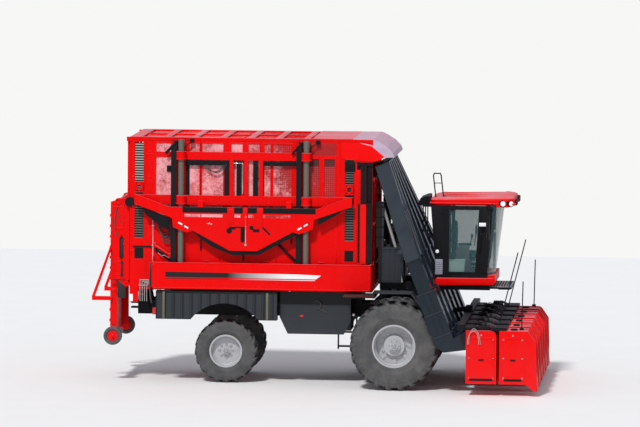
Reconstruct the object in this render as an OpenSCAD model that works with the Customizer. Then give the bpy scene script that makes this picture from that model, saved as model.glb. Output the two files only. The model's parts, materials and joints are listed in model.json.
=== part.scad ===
// Six-row cotton picker with an on-board module builder.
// X runs forward, Y to the machine's left, Z up. The origin is on the ground under the middle of its length.

/* [Wheels] */
// Outer diameter of a front drive tyre over its lugs
front_tyre_d = 1763; // [1700:1:1800]
// Width of a front drive tyre
front_tyre_w = 500; // [440:1:510]
// Outer diameter of a front rim over its lips
front_rim_d = 860; // [820:1:900]
// Outer diameter of a rear steering tyre over its lugs
rear_tyre_d = 1265; // [1200:1:1280]
// Width of a rear steering tyre
rear_tyre_w = 380; // [340:1:400]
// Outer diameter of a rear rim over its lips
rear_rim_d = 660; // [630:1:680]
// Distance from front axle to rear axle
wheelbase = 3430; // [3400:1:3460]
// Distance of the front axle in front of the origin
front_axle_x = 1625; // [1610:1:1640]

/* [Rows] */
// Distance between two plant rows
row_pitch = 965; // [960:1:975]
// Width of the passage that a plant row takes through a unit
row_gap = 150; // [120:1:170]

/* [Chamber] */
// Rear end of the module chamber
chamber_rear_x = -3735; // [-3745:1:-3730]
// Front end of the module chamber
chamber_front_x = 1115; // [1100:1:1120]
// Half the width over the chamber's side walls
chamber_half_w = 1220; // [1210:1:1222]
// Thickness of a side wall with its ribs
wall_t = 30; // [20:1:40]
// Underside of the chamber floor
floor_z = 1860; // [1855:1:1870]
// Thickness of the chamber floor with its beams
floor_t = 110; // [90:1:120]
// Top of the chamber's rails
chamber_top_z = 4905; // [4890:1:4915]
// Angle of the chamber when it tips its load out
tilt_max = 10; // [6:1:10]

/* [Packer] */
// Middle of the packer frame along the machine
packer_x = -1450; // [-1455:1:-1445]
// Distance of each guide mast from the middle of the packer
mast_dx = 1250; // [1240:1:1260]
// Radius of a guide tube
mast_r = 55; // [50:1:58]
// Distance of each cross beam from the middle of the packer
beam_dx = 2100; // [2095:1:2105]
// Width of the slots that the cross beams pass through
slot_w = 180; // [170:1:190]

/* [Ducts] */
// Width of an upper duct
duct_w = 340; // [320:1:344]
// Depth of an upper duct
duct_d = 280; // [260:1:290]
// Gap between an upper duct and the sleeve around it
sleeve_gap = 42; // [36:1:44]
// Wall of a duct sleeve
sleeve_wall = 8; // [6:1:10]

/* [Header] */
// Length of the lift arms between their pins
arm_len = 1050; // [1040:1:1060]
// Angle of the lift arms above level with the header down
arm_low = 8; // [7:1:9]
// Angle that the lift arms swing through
arm_swing = 28; // [24:1:28]
// Height of the picking cabinets' tops
cabinet_top = 1290; // [1270:1:1300]

/* [Cab] */
// Half the width of the cab
cab_half_w = 870; // [860:1:875]
// Rear face of the cab
cab_rear_x = 2440; // [2430:1:2450]
// Top of the cab floor
cab_floor_z = 2210; // [2200:1:2220]
// Underside of the cab roof
roof_z = 3590; // [3580:1:3610]
// Front edge of the cab's side at its floor
cab_front_low_x = 3330; // [3325:1:3335]
// Front edge of the cab's side at its roof
cab_front_top_x = 3490; // [3485:1:3495]

/* [Rear gate] */
// Length of the gate between its hinge and the ramp's hinge
gate_len = 1650; // [1640:1:1660]
// Length of the folding ramp from its hinge to its wheels
ramp_len = 2690; // [2670:1:2700]
// Radius of the ramp's wheels
ramp_wheel_r = 185; // [180:1:190]

/* [Hidden] */
$fn = 48;

seat_gap = 0.3;
rear_axle_x = front_axle_x - wheelbase;
front_axle_z = front_tyre_d / 2;
rear_axle_z = rear_tyre_d / 2;
wheel_y = [row_pitch, 2 * row_pitch];
rows = [-2.5, -1.5, -0.5, 0.5, 1.5, 2.5];
red = "red";
dark = "dimgray";

// Chassis rails
rail_y0 = 380;
rail_y1 = 500;
rail_z0 = 1300;
rail_z1 = 1560;
rail_rear_x = -3640;
rail_front_x = 2180;

// Chamber pivot and its lift cylinders
pivot_x = -3550;
pivot_z = 1750;
pivot_r = 35;
floor_top = floor_z + floor_t;
tilt_foot = [-1600, 1400];
tilt_head = [200, 1800];
tilt_y = 610;

// Header linkage
arm_x = 1950;
arm_z = 900;
arm_y = 235;
arm_end_x = arm_x + arm_len * cos(arm_low);
arm_end_z = arm_z + arm_len * sin(arm_low);
link_rise = 420;
lift_foot = [2080, 1620];
lift_along = 750;
lift_y = 165;
lift_barrel_len = 480;
lift_rod_len = 449;
lift_head = [arm_x + lift_along * cos(arm_low), arm_z + lift_along * sin(arm_low)];

// Ducts lean back along the header's mean line of travel
duct_lean = arm_low + arm_swing / 2;
duct_foot_z = 1000;
duct_foot_x = 2670;
sleeve_len = 1080;
duct_low = 760;
duct_straight = 1760;
duct_top = 3690;

sleeve_d = duct_d + 2 * (sleeve_gap + sleeve_wall);
sleeve_w = duct_w + 2 * (6 + sleeve_wall);
cab_beam_z0 = 1905;
cab_beam_z1 = 2045;

// Packer planes, from the wall outwards
beam_y0 = chamber_half_w + 15;
beam_y1 = beam_y0 + 50;
mast_y = beam_y1 + 65;
plate_y0 = mast_y + 75;
plate_y1 = plate_y0 + 25;
skirt_y = plate_y1 + 35;
packer_mid_z = 3660;

// Gate
gate_x = chamber_rear_x - 65;
gate_z = 1950;
ramp_x = gate_x - 180;
ramp_z = gate_z + gate_len;
// Inner face of the gate's side plates, height of the upper gate's hinge, outer side of the ramp's deck
gate_y = chamber_half_w - 120;
upper_z = chamber_top_z - 55;
ramp_y = gate_y - 60;
// The side guides reach as far back as the snouts reach forwards
snout_tip_x = 4505;
guide_x = -snout_tip_x;

module box(x0, x1, y0, y1, z0, z1) {
    translate([x0, y0, z0]) cube([x1 - x0, y1 - y0, z1 - z0]);
}

module both() {
    children();
    mirror([0, 1, 0]) children();
}

// Extrudes an outline in X and Z along Y
module side(y0, y1) {
    translate([0, y1, 0]) rotate([90, 0, 0]) linear_extrude(y1 - y0) children();
}

module rod_y(x, z, r, y0, y1) {
    translate([x, y0, z]) rotate([-90, 0, 0]) cylinder(r = r, h = y1 - y0);
}

// A round bar in the X and Z plane from point a, at a given angle above level
module bar_xz(a, angle, r, from, to, y) {
    translate([a[0], y, a[1]]) rotate([0, 90 - angle, 0]) translate([0, 0, from]) cylinder(r = r, h = to - from);
}

// Wheels

// Place of a rim's lip, as a part of its tyre's width
lip_part = 0.41;

// Outline of a tyre's section: half the points, from bead to crown
function tyre_half(bead_r, out_r, w) = let (h = out_r - bead_r, lip = lip_part * w) [
    [bead_r + seat_gap, lip - 20.5], [bead_r + 25, lip - 8.5], [bead_r + 29, lip], [bead_r + 0.25 * h, 0.482 * w],
    [bead_r + 0.45 * h, 0.5 * w], [bead_r + 0.65 * h, 0.498 * w], [bead_r + 0.82 * h, 0.482 * w],
    [bead_r + 0.93 * h, 0.465 * w], [bead_r + 0.97 * h, 0.44 * w], [bead_r + 0.99 * h, 0.25 * w], [out_r, 0.1 * w]];

// A tyre with two rows of slanted lugs on a core that is lug_h smaller
module tyre(bead_r, out_r, w, y, lug_h, lug_t, lugs) {
    core_r = out_r - lug_h;
    half = tyre_half(bead_r, core_r, w);
    last = len(half) - 1;
    step = 360 / lugs;
    lug_r = sqrt(out_r * out_r - pow(0.27 * w * sin(32) + lug_t / 2 * cos(32), 2));
    translate([0, y, 0]) {
        rotate([90, 0, 0]) rotate_extrude($fn = 96)
            polygon(concat(half, [for (i = [last:-1:0]) [half[i][0], -half[i][1]]]));
        for (i = [0:lugs - 1], s = [0, 1]) rotate([0, (i + s / 2) * step, 0]) mirror([0, s, 0])
            translate([0, 0.225 * w, 0]) rotate([32, 0, 0])
                box(core_r - 32, lug_r, -0.27 * w, 0.25 * w, -lug_t / 2, lug_t / 2);
    }
}

// A rim with its lips, well and disc; disc_y is the disc's place, outwards from the rim's middle
module rim(lip_r, w, y, disc_y, bore_r) {
    lip = lip_part * w;
    seat = lip_r - 24;
    well = lip_r - 60;
    translate([0, y, 0]) rotate([90, 0, 0]) {
        rotate_extrude($fn = 96) polygon([
            [lip_r, lip], [lip_r, lip - 8], [seat, lip - 20], [seat - 4, lip - 90], [well, lip - 120],
            [well, 120 - lip], [seat - 4, 90 - lip], [seat, 20 - lip], [lip_r, 8 - lip], [lip_r, -lip],
            [seat - 10, -lip], [seat - 14, 85 - lip], [well - 10, 115 - lip],
            [well - 10, lip - 115], [seat - 14, lip - 85], [seat - 10, lip]]);
        translate([0, 0, disc_y]) difference() {
            cylinder(r = well - 2, h = 16, center = true, $fn = 96);
            cylinder(r = bore_r, h = 40, center = true);
        }
    }
}

hub_r = 205;
hub_inner_y = 800;

module front_rims() {
    translate([front_axle_x, 0, front_axle_z]) color("gainsboro") {
        rim(front_rim_d / 2, front_tyre_w, -wheel_y[0], -60, 60);
        rim(front_rim_d / 2, front_tyre_w, -wheel_y[1], -60, 60);
        // Final drive housing that carries both discs
        rod_y(0, 0, hub_r, -wheel_y[1] - 40, -hub_inner_y);
        rod_y(0, 0, 120, -wheel_y[1] - 110, -wheel_y[1] - 40);
        rod_y(0, 0, 78, -wheel_y[1] - 150, -wheel_y[1] - 110);
        // Clamps between the disc and the rim
        for (a = [0:45:315]) rotate([0, a, 0])
            box(hub_r + 60, front_rim_d / 2 - 66, -wheel_y[1] + 30, -wheel_y[1] + 66, -36, 36);
    }
}

module front_tyres() {
    translate([front_axle_x, 0, front_axle_z]) color("gray")
        for (y = wheel_y) tyre(front_rim_d / 2 - 24, front_tyre_d / 2, front_tyre_w, -y, 45, 62, 22);
}

kingpin_y = 690;
kingpin_r = 32;

module rear_rim() {
    translate([rear_axle_x, 0, rear_axle_z]) color("gainsboro") {
        rim(rear_rim_d / 2, rear_tyre_w, -row_pitch, 20, 60);
        rod_y(0, 0, 95, -row_pitch - 60, -row_pitch + 60);
        rod_y(0, 0, 60, -row_pitch - 105, -row_pitch - 60);
    }
}

module rear_tyre() {
    translate([rear_axle_x, 0, rear_axle_z]) color("gray")
        tyre(rear_rim_d / 2 - 24, rear_tyre_d / 2, rear_tyre_w, -row_pitch, 34, 48, 20);
}

// A steering knuckle: yoke over the axle's end, kingpin and wheel spindle
module knuckle() {
    translate([rear_axle_x, 0, rear_axle_z]) color(dark) {
        difference() {
            box(-75, 75, -kingpin_y - 95, -kingpin_y + 75, -150, 150);
            box(-80, 80, -kingpin_y - 67, -kingpin_y + 80, -105, 105);
        }
        translate([0, -kingpin_y, -160]) cylinder(r = kingpin_r, h = 320);
        rod_y(0, 0, 62, -row_pitch + 60 + seat_gap, -kingpin_y - 90);
        // Steering arm
        box(-260, -60, -kingpin_y - 30, -kingpin_y + 30, -150, -120);
    }
}

module front_axle() {
    color(dark) {
        rod_y(front_axle_x, front_axle_z, 130, -650, 650);
        both() {
            rod_y(front_axle_x, front_axle_z, 190, 690, hub_inner_y - seat_gap);
            rod_y(front_axle_x, front_axle_z, 160, 560, 700);
            // Saddle up to the rail
            side(rail_y0 + 10, rail_y1 - 10) polygon([[front_axle_x - 260, rail_z0], [front_axle_x + 260, rail_z0],
                [front_axle_x + 120, front_axle_z - 60], [front_axle_x - 120, front_axle_z - 60]]);
        }
    }
}

module rear_axle() {
    bore = kingpin_r + 1;
    color(dark) difference() {
        union() {
            box(rear_axle_x - 70, rear_axle_x + 70, -kingpin_y + 20, kingpin_y - 20, rear_axle_z - 80, rear_axle_z + 80);
            both() translate([rear_axle_x, kingpin_y, rear_axle_z - 100]) cylinder(r = 60, h = 200);
            // Pillar on which the beam rocks, up to the rails' cross member
            box(rear_axle_x - 110, rear_axle_x + 110, -170, 170, rear_axle_z + 40, rail_z0);
        }
        both() translate([rear_axle_x, kingpin_y, rear_axle_z - 120]) cylinder(r = bore, h = 240);
    }
}

module chassis_frame() {
    color(dark) {
        both() {
            box(rail_rear_x, rail_front_x, rail_y0, rail_y1, rail_z0, rail_z1);
            // Pivot of the chamber
            side(rail_y1, 540) polygon([[pivot_x - 90, rail_z0 + 60], [pivot_x + 160, rail_z0 + 60],
                [pivot_x + 70, pivot_z + 60], [pivot_x - 70, pivot_z + 60]]);
            rod_y(pivot_x, pivot_z, pivot_r, 530, 640);
            // Foot pin of the chamber's lift cylinder
            rod_y(tilt_foot[0], tilt_foot[1], 30, rail_y1 - 5, 690);
        }
        // Cross members
        for (x = [rail_rear_x, -2420, rear_axle_x - 120, -650, 1000]) box(x, x + 240, -rail_y0, rail_y0, rail_z0, rail_z1);
        // Bolsters under the chamber floor
        for (x = [-2700, -900, 700]) box(x, x + 160, -rail_y1, rail_y1, rail_z1, floor_z - seat_gap);
        // Tow clevis
        difference() {
            union() {
                box(rail_rear_x - 190, rail_rear_x, -90, 90, 1370, 1400);
                box(rail_rear_x - 190, rail_rear_x, -90, 90, 1470, 1500);
            }
            translate([rail_rear_x - 120, 0, 1300]) cylinder(r = 17, h = 300);
        }
    }
}

// Towers and beams that carry the cab over the inner drive wheels
module cab_beams() {
    color(dark) both() {
        box(1240, 1380, rail_y1 + seat_gap, 710, rail_z1 - 100, cab_beam_z1);
        box(1240, 3440, 700, 800, cab_beam_z0, cab_beam_z1);
    }
}

// Drop frame in front of the axle, between the inner ducts, that carries the header
module drop_frame() {
    color(dark) {
        difference() {
            side(-120, 120) polygon([[1780, 760], [2070, 760], [2070, 1430], [2125, 1560], [2125, 1680], [1980, 1760],
                [1780, 1760]]);
            side(-60, 60) polygon([[1840, 840], [2200, 840], [2200, 1500], [1840, 1500]]);
        }
        box(1700, 1860, seat_gap - rail_y0, rail_y0 - seat_gap, 1400, rail_z1);
        rod_y(arm_x, arm_z, 40, -arm_y - 35, arm_y + 35);
        rod_y(arm_x, arm_z + link_rise, 30, -70, 70);
        rod_y(lift_foot[0], lift_foot[1], 28, -lift_y - 35, lift_y + 35);
    }
}

module engine() {
    half_w = rail_y0 - seat_gap;
    color(dark) box(-400, 640, -half_w, half_w, 1010, rail_z0 + 480);
}

// Cooling package and intake stack between chamber and cab
module cooling_box() {
    color("darkslategray") {
        box(1230, 1690, -1090, 1090, cab_beam_z1 + seat_gap, 2760);
        both() for (x = [1245:115:1600]) box(x, x + 85, 1080, 1100, cab_beam_z1 + 60, 2740);
        for (y = [-880:440:440]) box(1260, 1660, y, y + 400, 2750, 2790);
        both() box(1180, 1330, 860, 1100, 2750, 3640);
        both() translate([1450, 620, 2750]) cylinder(r = 70, h = 420);
    }
}

tank_x0 = -3180;
tank_x1 = -760;
tank_z0 = 1290;
tank_z1 = 1850;
tank_y0 = 1190;
tank_y1 = 1480;

module side_tanks() {
    color("darkslategray") both() {
        difference() {
            union() {
                box(tank_x0, tank_x1, tank_y0, tank_y1 - 20, tank_z0, tank_z1);
                for (x = [tank_x0 + 40:180:tank_x1 - 120]) box(x, x + 100, tank_y1 - 30, tank_y1, tank_z0 + 30, tank_z1 - 30);
            }
            rod_y(rear_axle_x, 760, 860, tank_y0 - 10, tank_y1 + 10);
        }
        // Straps to the rail
        for (x = [tank_x0 + 200, tank_x1 - 320]) box(x, x + 120, rail_y1, tank_y0, rail_z0 + 40, rail_z0 + 100);
    }
}

module body_panels() {
    color(dark) both() {
        // Belly panel between the wheels
        side(1180, 1210) polygon([[-720, 1340], [-560, 1010], [560, 1010], [700, 1290], [700, 1850], [-720, 1850]]);
        for (x = [-640, 560]) box(x, x + 100, rail_y1, 1180, rail_z0 + 40, rail_z0 + 100);
        // Mudguard over the front wheels, stepped up to a bent fender over the outer one
        box(600, 700, 1200, 1300, 1790, 1850);
        box(600, 1240, 1228, 2100, 1825, 1850);
        side(1660, 2195) polygon([[1200, 1830], [1240, 1830], [1240, 1925], [1955, 1925], [2305, 1476], [2335, 1494],
            [1968, 1950], [1200, 1950]]);
    }
    // Service ladder on the left
    color(dark) {
        for (x = [250, 620]) box(x, x + 30, 1205, 1260, 480, 1600);
        for (z = [520:290:1400]) box(250, 650, 1215, 1330, z, z + 30);
    }
}

// One upper duct in its own line: a straight foot, then a limb that fans in to the hood
module duct(row_y, top_y) {
    translate([duct_foot_x, 0, duct_foot_z]) rotate([0, -duct_lean, 0]) {
        translate([-duct_d / 2, row_y - duct_w / 2, duct_low]) cube([duct_d, duct_w, duct_straight - duct_low]);
        hull() {
            translate([-duct_d / 2, row_y - duct_w / 2, duct_straight - 1]) cube([duct_d, duct_w, 1]);
            translate([-duct_d / 2, top_y - duct_w / 2, duct_top - 1]) cube([duct_d, duct_w, 1]);
        }
        // Bolted flanges where the limbs join
        translate([-duct_d / 2 - 16, row_y - duct_w / 2 - 16, duct_straight - 30]) cube([duct_d + 32, duct_w + 32, 26]);
        translate([-duct_d / 2 - 12, top_y - duct_w / 2 - 12, duct_top - 26]) cube([duct_d + 24, duct_w + 24, 24]);
    }
}

module ducts() {
    color("darkslategray") {
        for (r = rows) duct(r * row_pitch, r * 400);
        // Cross beam on the cooling box that carries them
        box(1690 + seat_gap, 1850, -2440, 2440, 2690, 2750);
        both() box(1690 + seat_gap, 1740, 700, 1050, 2500, 2700);
    }
}

// Header

module duct_sleeve(row_y) {
    in_d = duct_d + 2 * sleeve_gap;
    in_w = duct_w + 12;
    translate([duct_foot_x, row_y, duct_foot_z]) rotate([0, -duct_lean, 0]) difference() {
        translate([-sleeve_d / 2, -sleeve_w / 2, 0]) cube([sleeve_d, sleeve_w, sleeve_len]);
        translate([-in_d / 2, -in_w / 2, 60]) cube([in_d, in_w, sleeve_len]);
    }
}

// A point in X and Z beside the ducts' line: across it, forwards, and along it, upwards
function duct_point(across, along) = [
    duct_foot_x + across * cos(duct_lean) - along * sin(duct_lean),
    duct_foot_z + across * sin(duct_lean) + along * cos(duct_lean)];

module duct_sleeves() {
    color("darkslategray") for (r = rows) {
        duct_sleeve(r * row_pitch);
        // Boot to the back of the cabinets
        side(r * row_pitch - sleeve_w / 2 + 4, r * row_pitch + sleeve_w / 2 - 4) polygon([duct_point(4 - sleeve_d / 2, 20),
            duct_point(sleeve_d / 2 - 4, 20), [cab_x[0] - seat_gap, 1270], [cab_x[0] - seat_gap, 880], [2640, 820]]);
    }
}

cab_x = [3090, 3690, 3745, 4280];

// Side outline of a rear housing, drawn in by a wall, from y0 to y1
module rear_housing(wall, y0, y1) {
    top = cabinet_top - wall;
    front = cab_x[1] - wall;
    side(y0, y1) polygon([[cab_x[0] + wall, 240 + wall], [front, 240 + wall], [front, top - 110], [front - 25, top - 45],
        [front - 70, top - 10], [front - 120, top], [cab_x[0] + wall, top]]);
}

module cabinets() {
    color(red) for (r = rows) translate([0, r * row_pitch - row_gap / 2, 0]) {
        difference() {
            rear_housing(0, -345, 0);
            rear_housing(12, -333, 1);
        }
        difference() {
            box(cab_x[2], cab_x[3], -345, 0, 240, cabinet_top);
            box(cab_x[2] + 12, cab_x[3] - 12, -333, 1, 252, cabinet_top - 12);
        }
        // Ribs round the doors of both housings
        for (x = [cab_x[0] + 40, cab_x[1] - 70, cab_x[2] + 30, cab_x[3] - 60]) box(x, x + 30, -353, -343, 300, cabinet_top - 130);
        for (z = [300, cabinet_top - 160]) {
            box(cab_x[0] + 40, cab_x[1] - 40, -353, -343, z, z + 30);
            box(cab_x[2] + 30, cab_x[3] - 30, -353, -343, z, z + 30);
        }
    }
}

// Each drum has a core, end plates and a ring of upright spindle bars
module drums() {
    h = cabinet_top - 264 - 2 * seat_gap;
    color("silver") for (r = rows, x = [cab_x[0] + 300, cab_x[2] + 270])
        translate([x, r * row_pitch - row_gap / 2 - 175, 252 + seat_gap]) {
            cylinder(r = 70, h = h, $fn = 24);
            for (z = [0, h - 40]) translate([0, 0, z]) cylinder(r = 150, h = 40, $fn = 24);
            for (a = [0:30:330]) rotate([0, 0, a]) box(104, 134, -14, 14, 20, h - 20);
        }
}

module pressure_sides() {
    color(red) for (r = rows) translate([0, r * row_pitch + row_gap / 2, 0]) {
        box(cab_x[0], cab_x[3], 0, 150, 240, cabinet_top);
        // Frames of the pressure plates' doors
        for (x = [cab_x[0] + 40, cab_x[1] - 20, cab_x[2] + 40, cab_x[3] - 60]) box(x, x + 26, 148, 158, 300, cabinet_top - 110);
        for (z = [300, cabinet_top - 140]) box(cab_x[0] + 40, cab_x[3] - 34, 148, 158, z, z + 30);
    }
}

module snouts() {
    color(red) for (r = rows, s = [0, 1])
        translate([0, r * row_pitch + (s == 0 ? -row_gap / 2 - 345 : row_gap / 2), 0])
            side(0, s == 0 ? 345 : 150) polygon([[cab_x[3] + seat_gap, cabinet_top], [4300, cabinet_top], [4455, 1060],
                [4475, 600], [snout_tip_x, 130], [4430, 110], [cab_x[3] + seat_gap, 230]]);
    // Wear strips on the crop lifters
    color(dark) for (r = rows, y = [-row_gap / 2 - 200, row_gap / 2 + 60])
        side(r * row_pitch + y, r * row_pitch + y + 40) polygon([[4310, cabinet_top - 22], [4330, cabinet_top - 14],
            [4476, 1064], [4492, 600], [4490, 300], [4462, 600], [4446, 1056]]);
}

module toolbar() {
    color(dark) {
        difference() {
            union() {
                box(arm_end_x - 65, arm_end_x + 65, -2880, 2880, cabinet_top + 5, cabinet_top + 120);
                // Brackets down to the cabinets, over the row's passage
                for (r = rows, x = [[arm_end_x, cab_x[0] + 120], [cab_x[1] - 120, cab_x[2] + 140]])
                    box(x[0], x[1], r * row_pitch - 400, r * row_pitch + 200, cabinet_top + seat_gap, cabinet_top + 60);
                // Marker rods on the outer units
                both() for (m = [[1.5, 3680, 76, 1470], [2.5, 4172, 89, 940]]) {
                    bar_xz([m[1], cabinet_top + 20], m[2], 11, 0, m[3], m[0] * row_pitch + 150);
                    box(m[1] - 40, m[1] + 40, m[0] * row_pitch + 110, m[0] * row_pitch + 190, cabinet_top + seat_gap, cabinet_top + 40);
                }
                // Posts for the lift arms and the link
                both() box(arm_end_x - 65, arm_end_x + 65, 70, 130, arm_end_z - 70, arm_end_z + link_rise + 60);
            }
            rod_y(arm_end_x, arm_end_z, 41, -140, 140);
            rod_y(arm_end_x, arm_end_z + link_rise, 31, -62, 62);
            // Room for the upper link as it swings
            box(arm_end_x - 80, arm_end_x + 80, -60, 60, cabinet_top + 45, cabinet_top + 130);
        }
        rod_y(arm_end_x, arm_end_z + link_rise, 30, -72, 72);
    }
}

module lift_arms() {
    color(dark) {
        both() difference() {
            translate([arm_x, arm_y, arm_z]) rotate([0, -arm_low, 0]) box(-70, arm_len + 60, -30, 30, -60, 60);
            rod_y(arm_x, arm_z, 41, 150, 280);
        }
        rod_y(arm_end_x, arm_end_z, 40, -arm_y - 28, arm_y + 28);
    }
}

module upper_link() {
    color(dark) difference() {
        translate([arm_x, 0, arm_z + link_rise]) rotate([0, -arm_low, 0]) box(-52, arm_len + 52, -40, 40, -45, 45);
        rod_y(arm_x, arm_z + link_rise, 31, -60, 60);
        rod_y(arm_end_x, arm_end_z + link_rise, 31, -60, 60);
    }
}

function angle_of(a, b) = atan2(b[1] - a[1], b[0] - a[0]);
function length_of(a, b) = norm(b - a);

module lift_barrels() {
    color(dark) both() difference() {
        union() {
            bar_xz(lift_foot, angle_of(lift_foot, lift_head), 37, 40, lift_barrel_len, lift_y);
            rod_y(lift_foot[0], lift_foot[1], 48, lift_y - 32, lift_y + 32);
        }
        rod_y(lift_foot[0], lift_foot[1], 29, 100, 220);
        bar_xz(lift_foot, angle_of(lift_foot, lift_head), 25, 90, 600, lift_y);
    }
}

module lift_rods() {
    reach = length_of(lift_foot, lift_head);
    color("silver") both() {
        bar_xz(lift_foot, angle_of(lift_foot, lift_head), 23, reach - lift_rod_len, reach, lift_y);
        rod_y(lift_head[0], lift_head[1], 40, lift_y - 25, lift_y + 25);
    }
}

module tilt_barrels() {
    color(dark) both() difference() {
        union() {
            bar_xz(tilt_foot, angle_of(tilt_foot, tilt_head), 55, 40, 1100, tilt_y);
            rod_y(tilt_foot[0], tilt_foot[1], 55, tilt_y - 35, tilt_y + 35);
        }
        rod_y(tilt_foot[0], tilt_foot[1], 31, tilt_y - 60, tilt_y + 60);
        bar_xz(tilt_foot, angle_of(tilt_foot, tilt_head), 36, 120, 1200, tilt_y);
    }
}

module tilt_rods() {
    color("silver") both() {
        bar_xz(tilt_foot, angle_of(tilt_foot, tilt_head), 34, 700, length_of(tilt_foot, tilt_head), tilt_y);
        rod_y(tilt_head[0], tilt_head[1], 45, tilt_y - 34, tilt_y + 34);
    }
}

// Chamber

module chamber_floor() {
    color(red) {
        // Corner legs under the rear end
        both() box(chamber_rear_x, -3564, 1150, 1215, 1600, floor_z + 10);
        box(chamber_rear_x, chamber_front_x, -chamber_half_w, chamber_half_w, floor_z, floor_top);
        both() difference() {
            side(545, 600) polygon([[pivot_x - 90, floor_z], [pivot_x - 60, pivot_z - 70], [pivot_x + 60, pivot_z - 70],
                [pivot_x + 90, floor_z]]);
            rod_y(pivot_x, pivot_z, pivot_r + 1, 540, 610);
        }
        // Ears of the gate's hinge
        both() difference() {
            union() {
                rod_y(gate_x, gate_z, 44, 900, 970);
                box(gate_x, chamber_rear_x, 900, 970, gate_z - 44, floor_top);
            }
            rod_y(gate_x, gate_z, 31, 880, 990);
        }
    }
}

slot_x = [packer_x - beam_dx, packer_x + beam_dx];
slot_z0 = floor_top + 50;
slot_z1 = chamber_top_z - 105;

// Window columns: centre, width
window_cols = [[-3065, 330], [-2447, 226], [-2084, 448], [-1600, 250], [-1260, 250], [-990, 150], [-690, 390],
    [-60, 230], [250, 240]];
// Window rows: lower edge, upper edge
window_rows = [[chamber_top_z - 1575, chamber_top_z - 385], [chamber_top_z - 310, chamber_top_z - 105]];

module chamber_side_outline() {
    difference() {
        translate([chamber_rear_x, floor_top]) square([chamber_front_x - chamber_rear_x, chamber_top_z - floor_top]);
        for (x = slot_x) translate([x - slot_w / 2, slot_z0]) square([slot_w, slot_z1 - slot_z0]);
        for (c = window_cols, w = window_rows) translate([c[0] - c[1] / 2, w[0]]) square([c[1], w[1] - w[0]]);
    }
}

module chamber_sides() {
    color(red) both() {
        side(chamber_half_w - wall_t, chamber_half_w) chamber_side_outline();
        // Covers over the slots, outside the slat bands
        for (x = slot_x, z = [[floor_top + 40, floor_top + 500], [floor_top + 720, floor_top + 910]])
            box(x - slot_w / 2 - 20, x + slot_w / 2 + 20, chamber_half_w - 2, chamber_half_w + 8, z[0], z[1]);
        // Upright ribs at the corners and beside the slots, and the rail along the top
        for (x = [[chamber_rear_x, 15], [slot_x[0] + 110, 15], [slot_x[1] - 210, 15], [slot_x[1] + 120, 455]])
            box(x[0], x[0] + 26, chamber_half_w - 2, chamber_half_w + 9, 2430, chamber_top_z - x[1]);
        box(chamber_rear_x, chamber_front_x, chamber_half_w - 2, chamber_half_w + 9, chamber_top_z - 65, chamber_top_z - 15);
    }
}

module screens() {
    color("pink") both() for (c = window_cols, w = window_rows)
        box(c[0] - c[1] / 2, c[0] + c[1] / 2, chamber_half_w - 20, chamber_half_w - 12, w[0], w[1]);
}

module chamber_ends() {
    in_y = chamber_half_w - wall_t;
    color(red) {
        // Front wall, with the mouth that the ducts blow through above it
        wall_top = chamber_top_z - 755;
        box(chamber_front_x - 40, chamber_front_x, -in_y, in_y, floor_top, wall_top);
        box(chamber_front_x - 40, chamber_front_x, -in_y, in_y, chamber_top_z - 125, chamber_top_z);
        // Ribs on the front wall
        for (i = [-2:2]) translate([chamber_front_x, i * 0.38 * in_y, 0]) box(-2, 30, -30, 30, floor_top, wall_top - 50);
        for (z = [2400, 3200, wall_top - 70]) box(chamber_front_x - 2, chamber_front_x + 30, -in_y, in_y, z, z + 60);
        // Rear portal
        both() box(chamber_rear_x, chamber_rear_x + 60, in_y - 60, in_y, floor_top, chamber_top_z);
        box(chamber_rear_x, chamber_rear_x + 60, 60 - in_y, in_y - 60, chamber_top_z - 125, chamber_top_z);
        // Ears of the upper gate's hinge
        both() difference() {
            box(gate_x - 15, chamber_rear_x, gate_y + 5, gate_y + 50, upper_z - 40, upper_z + 45);
            rod_y(gate_x + 25, upper_z, 29, gate_y - 10, gate_y + 60);
        }
    }
}

module chamber_roof() {
    in_y = chamber_half_w - wall_t;
    color(red) difference() {
        box(chamber_rear_x + 60, chamber_front_x - 40, -in_y, in_y, chamber_top_z - 40, chamber_top_z);
        for (x = [chamber_rear_x + 200:560:200]) both() box(x, x + 460, 40, in_y - 70, chamber_top_z - 50, chamber_top_z + 10);
    }
}

module hood() {
    color(red) {
        difference() {
            translate([chamber_front_x, 0, chamber_top_z]) side(-chamber_half_w, chamber_half_w)
                polygon([[-1211, seat_gap], [-1211, 8], [8, 11], [130, -45], [275, -135], [395, -255], [425, -345],
                    [15, -365], [seat_gap, -345], [seat_gap, seat_gap]]);
            translate([chamber_front_x, 0, chamber_top_z]) side(30 - chamber_half_w, chamber_half_w - 30)
                polygon([[-60, -20], [15, -60], [245, -160], [365, -265], [385, -405], [-60, -405]]);
        }
        // Curved cheeks that end in front of the chamber
        both() translate([chamber_front_x, 0, chamber_top_z]) side(chamber_half_w + seat_gap, chamber_half_w + 10)
            polygon([[-635, -67], [-215, -69], [-35, -105], [105, -185], [218, -345], [135, -407], [5, -437],
                [-135, -441], [-295, -415], [-635, -385]]);
    }
}

module skirts() {
    color(red) both() difference() {
        x0 = chamber_rear_x + 465;
        x1 = chamber_front_x - 3;
        box(x0, x1, chamber_half_w, skirt_y, floor_z + 40, floor_z + 565);
        box(x0 + 25, x1 - 25, chamber_half_w - 1, skirt_y - 25, floor_z + 65, floor_z + 580);
    }
}

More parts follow.
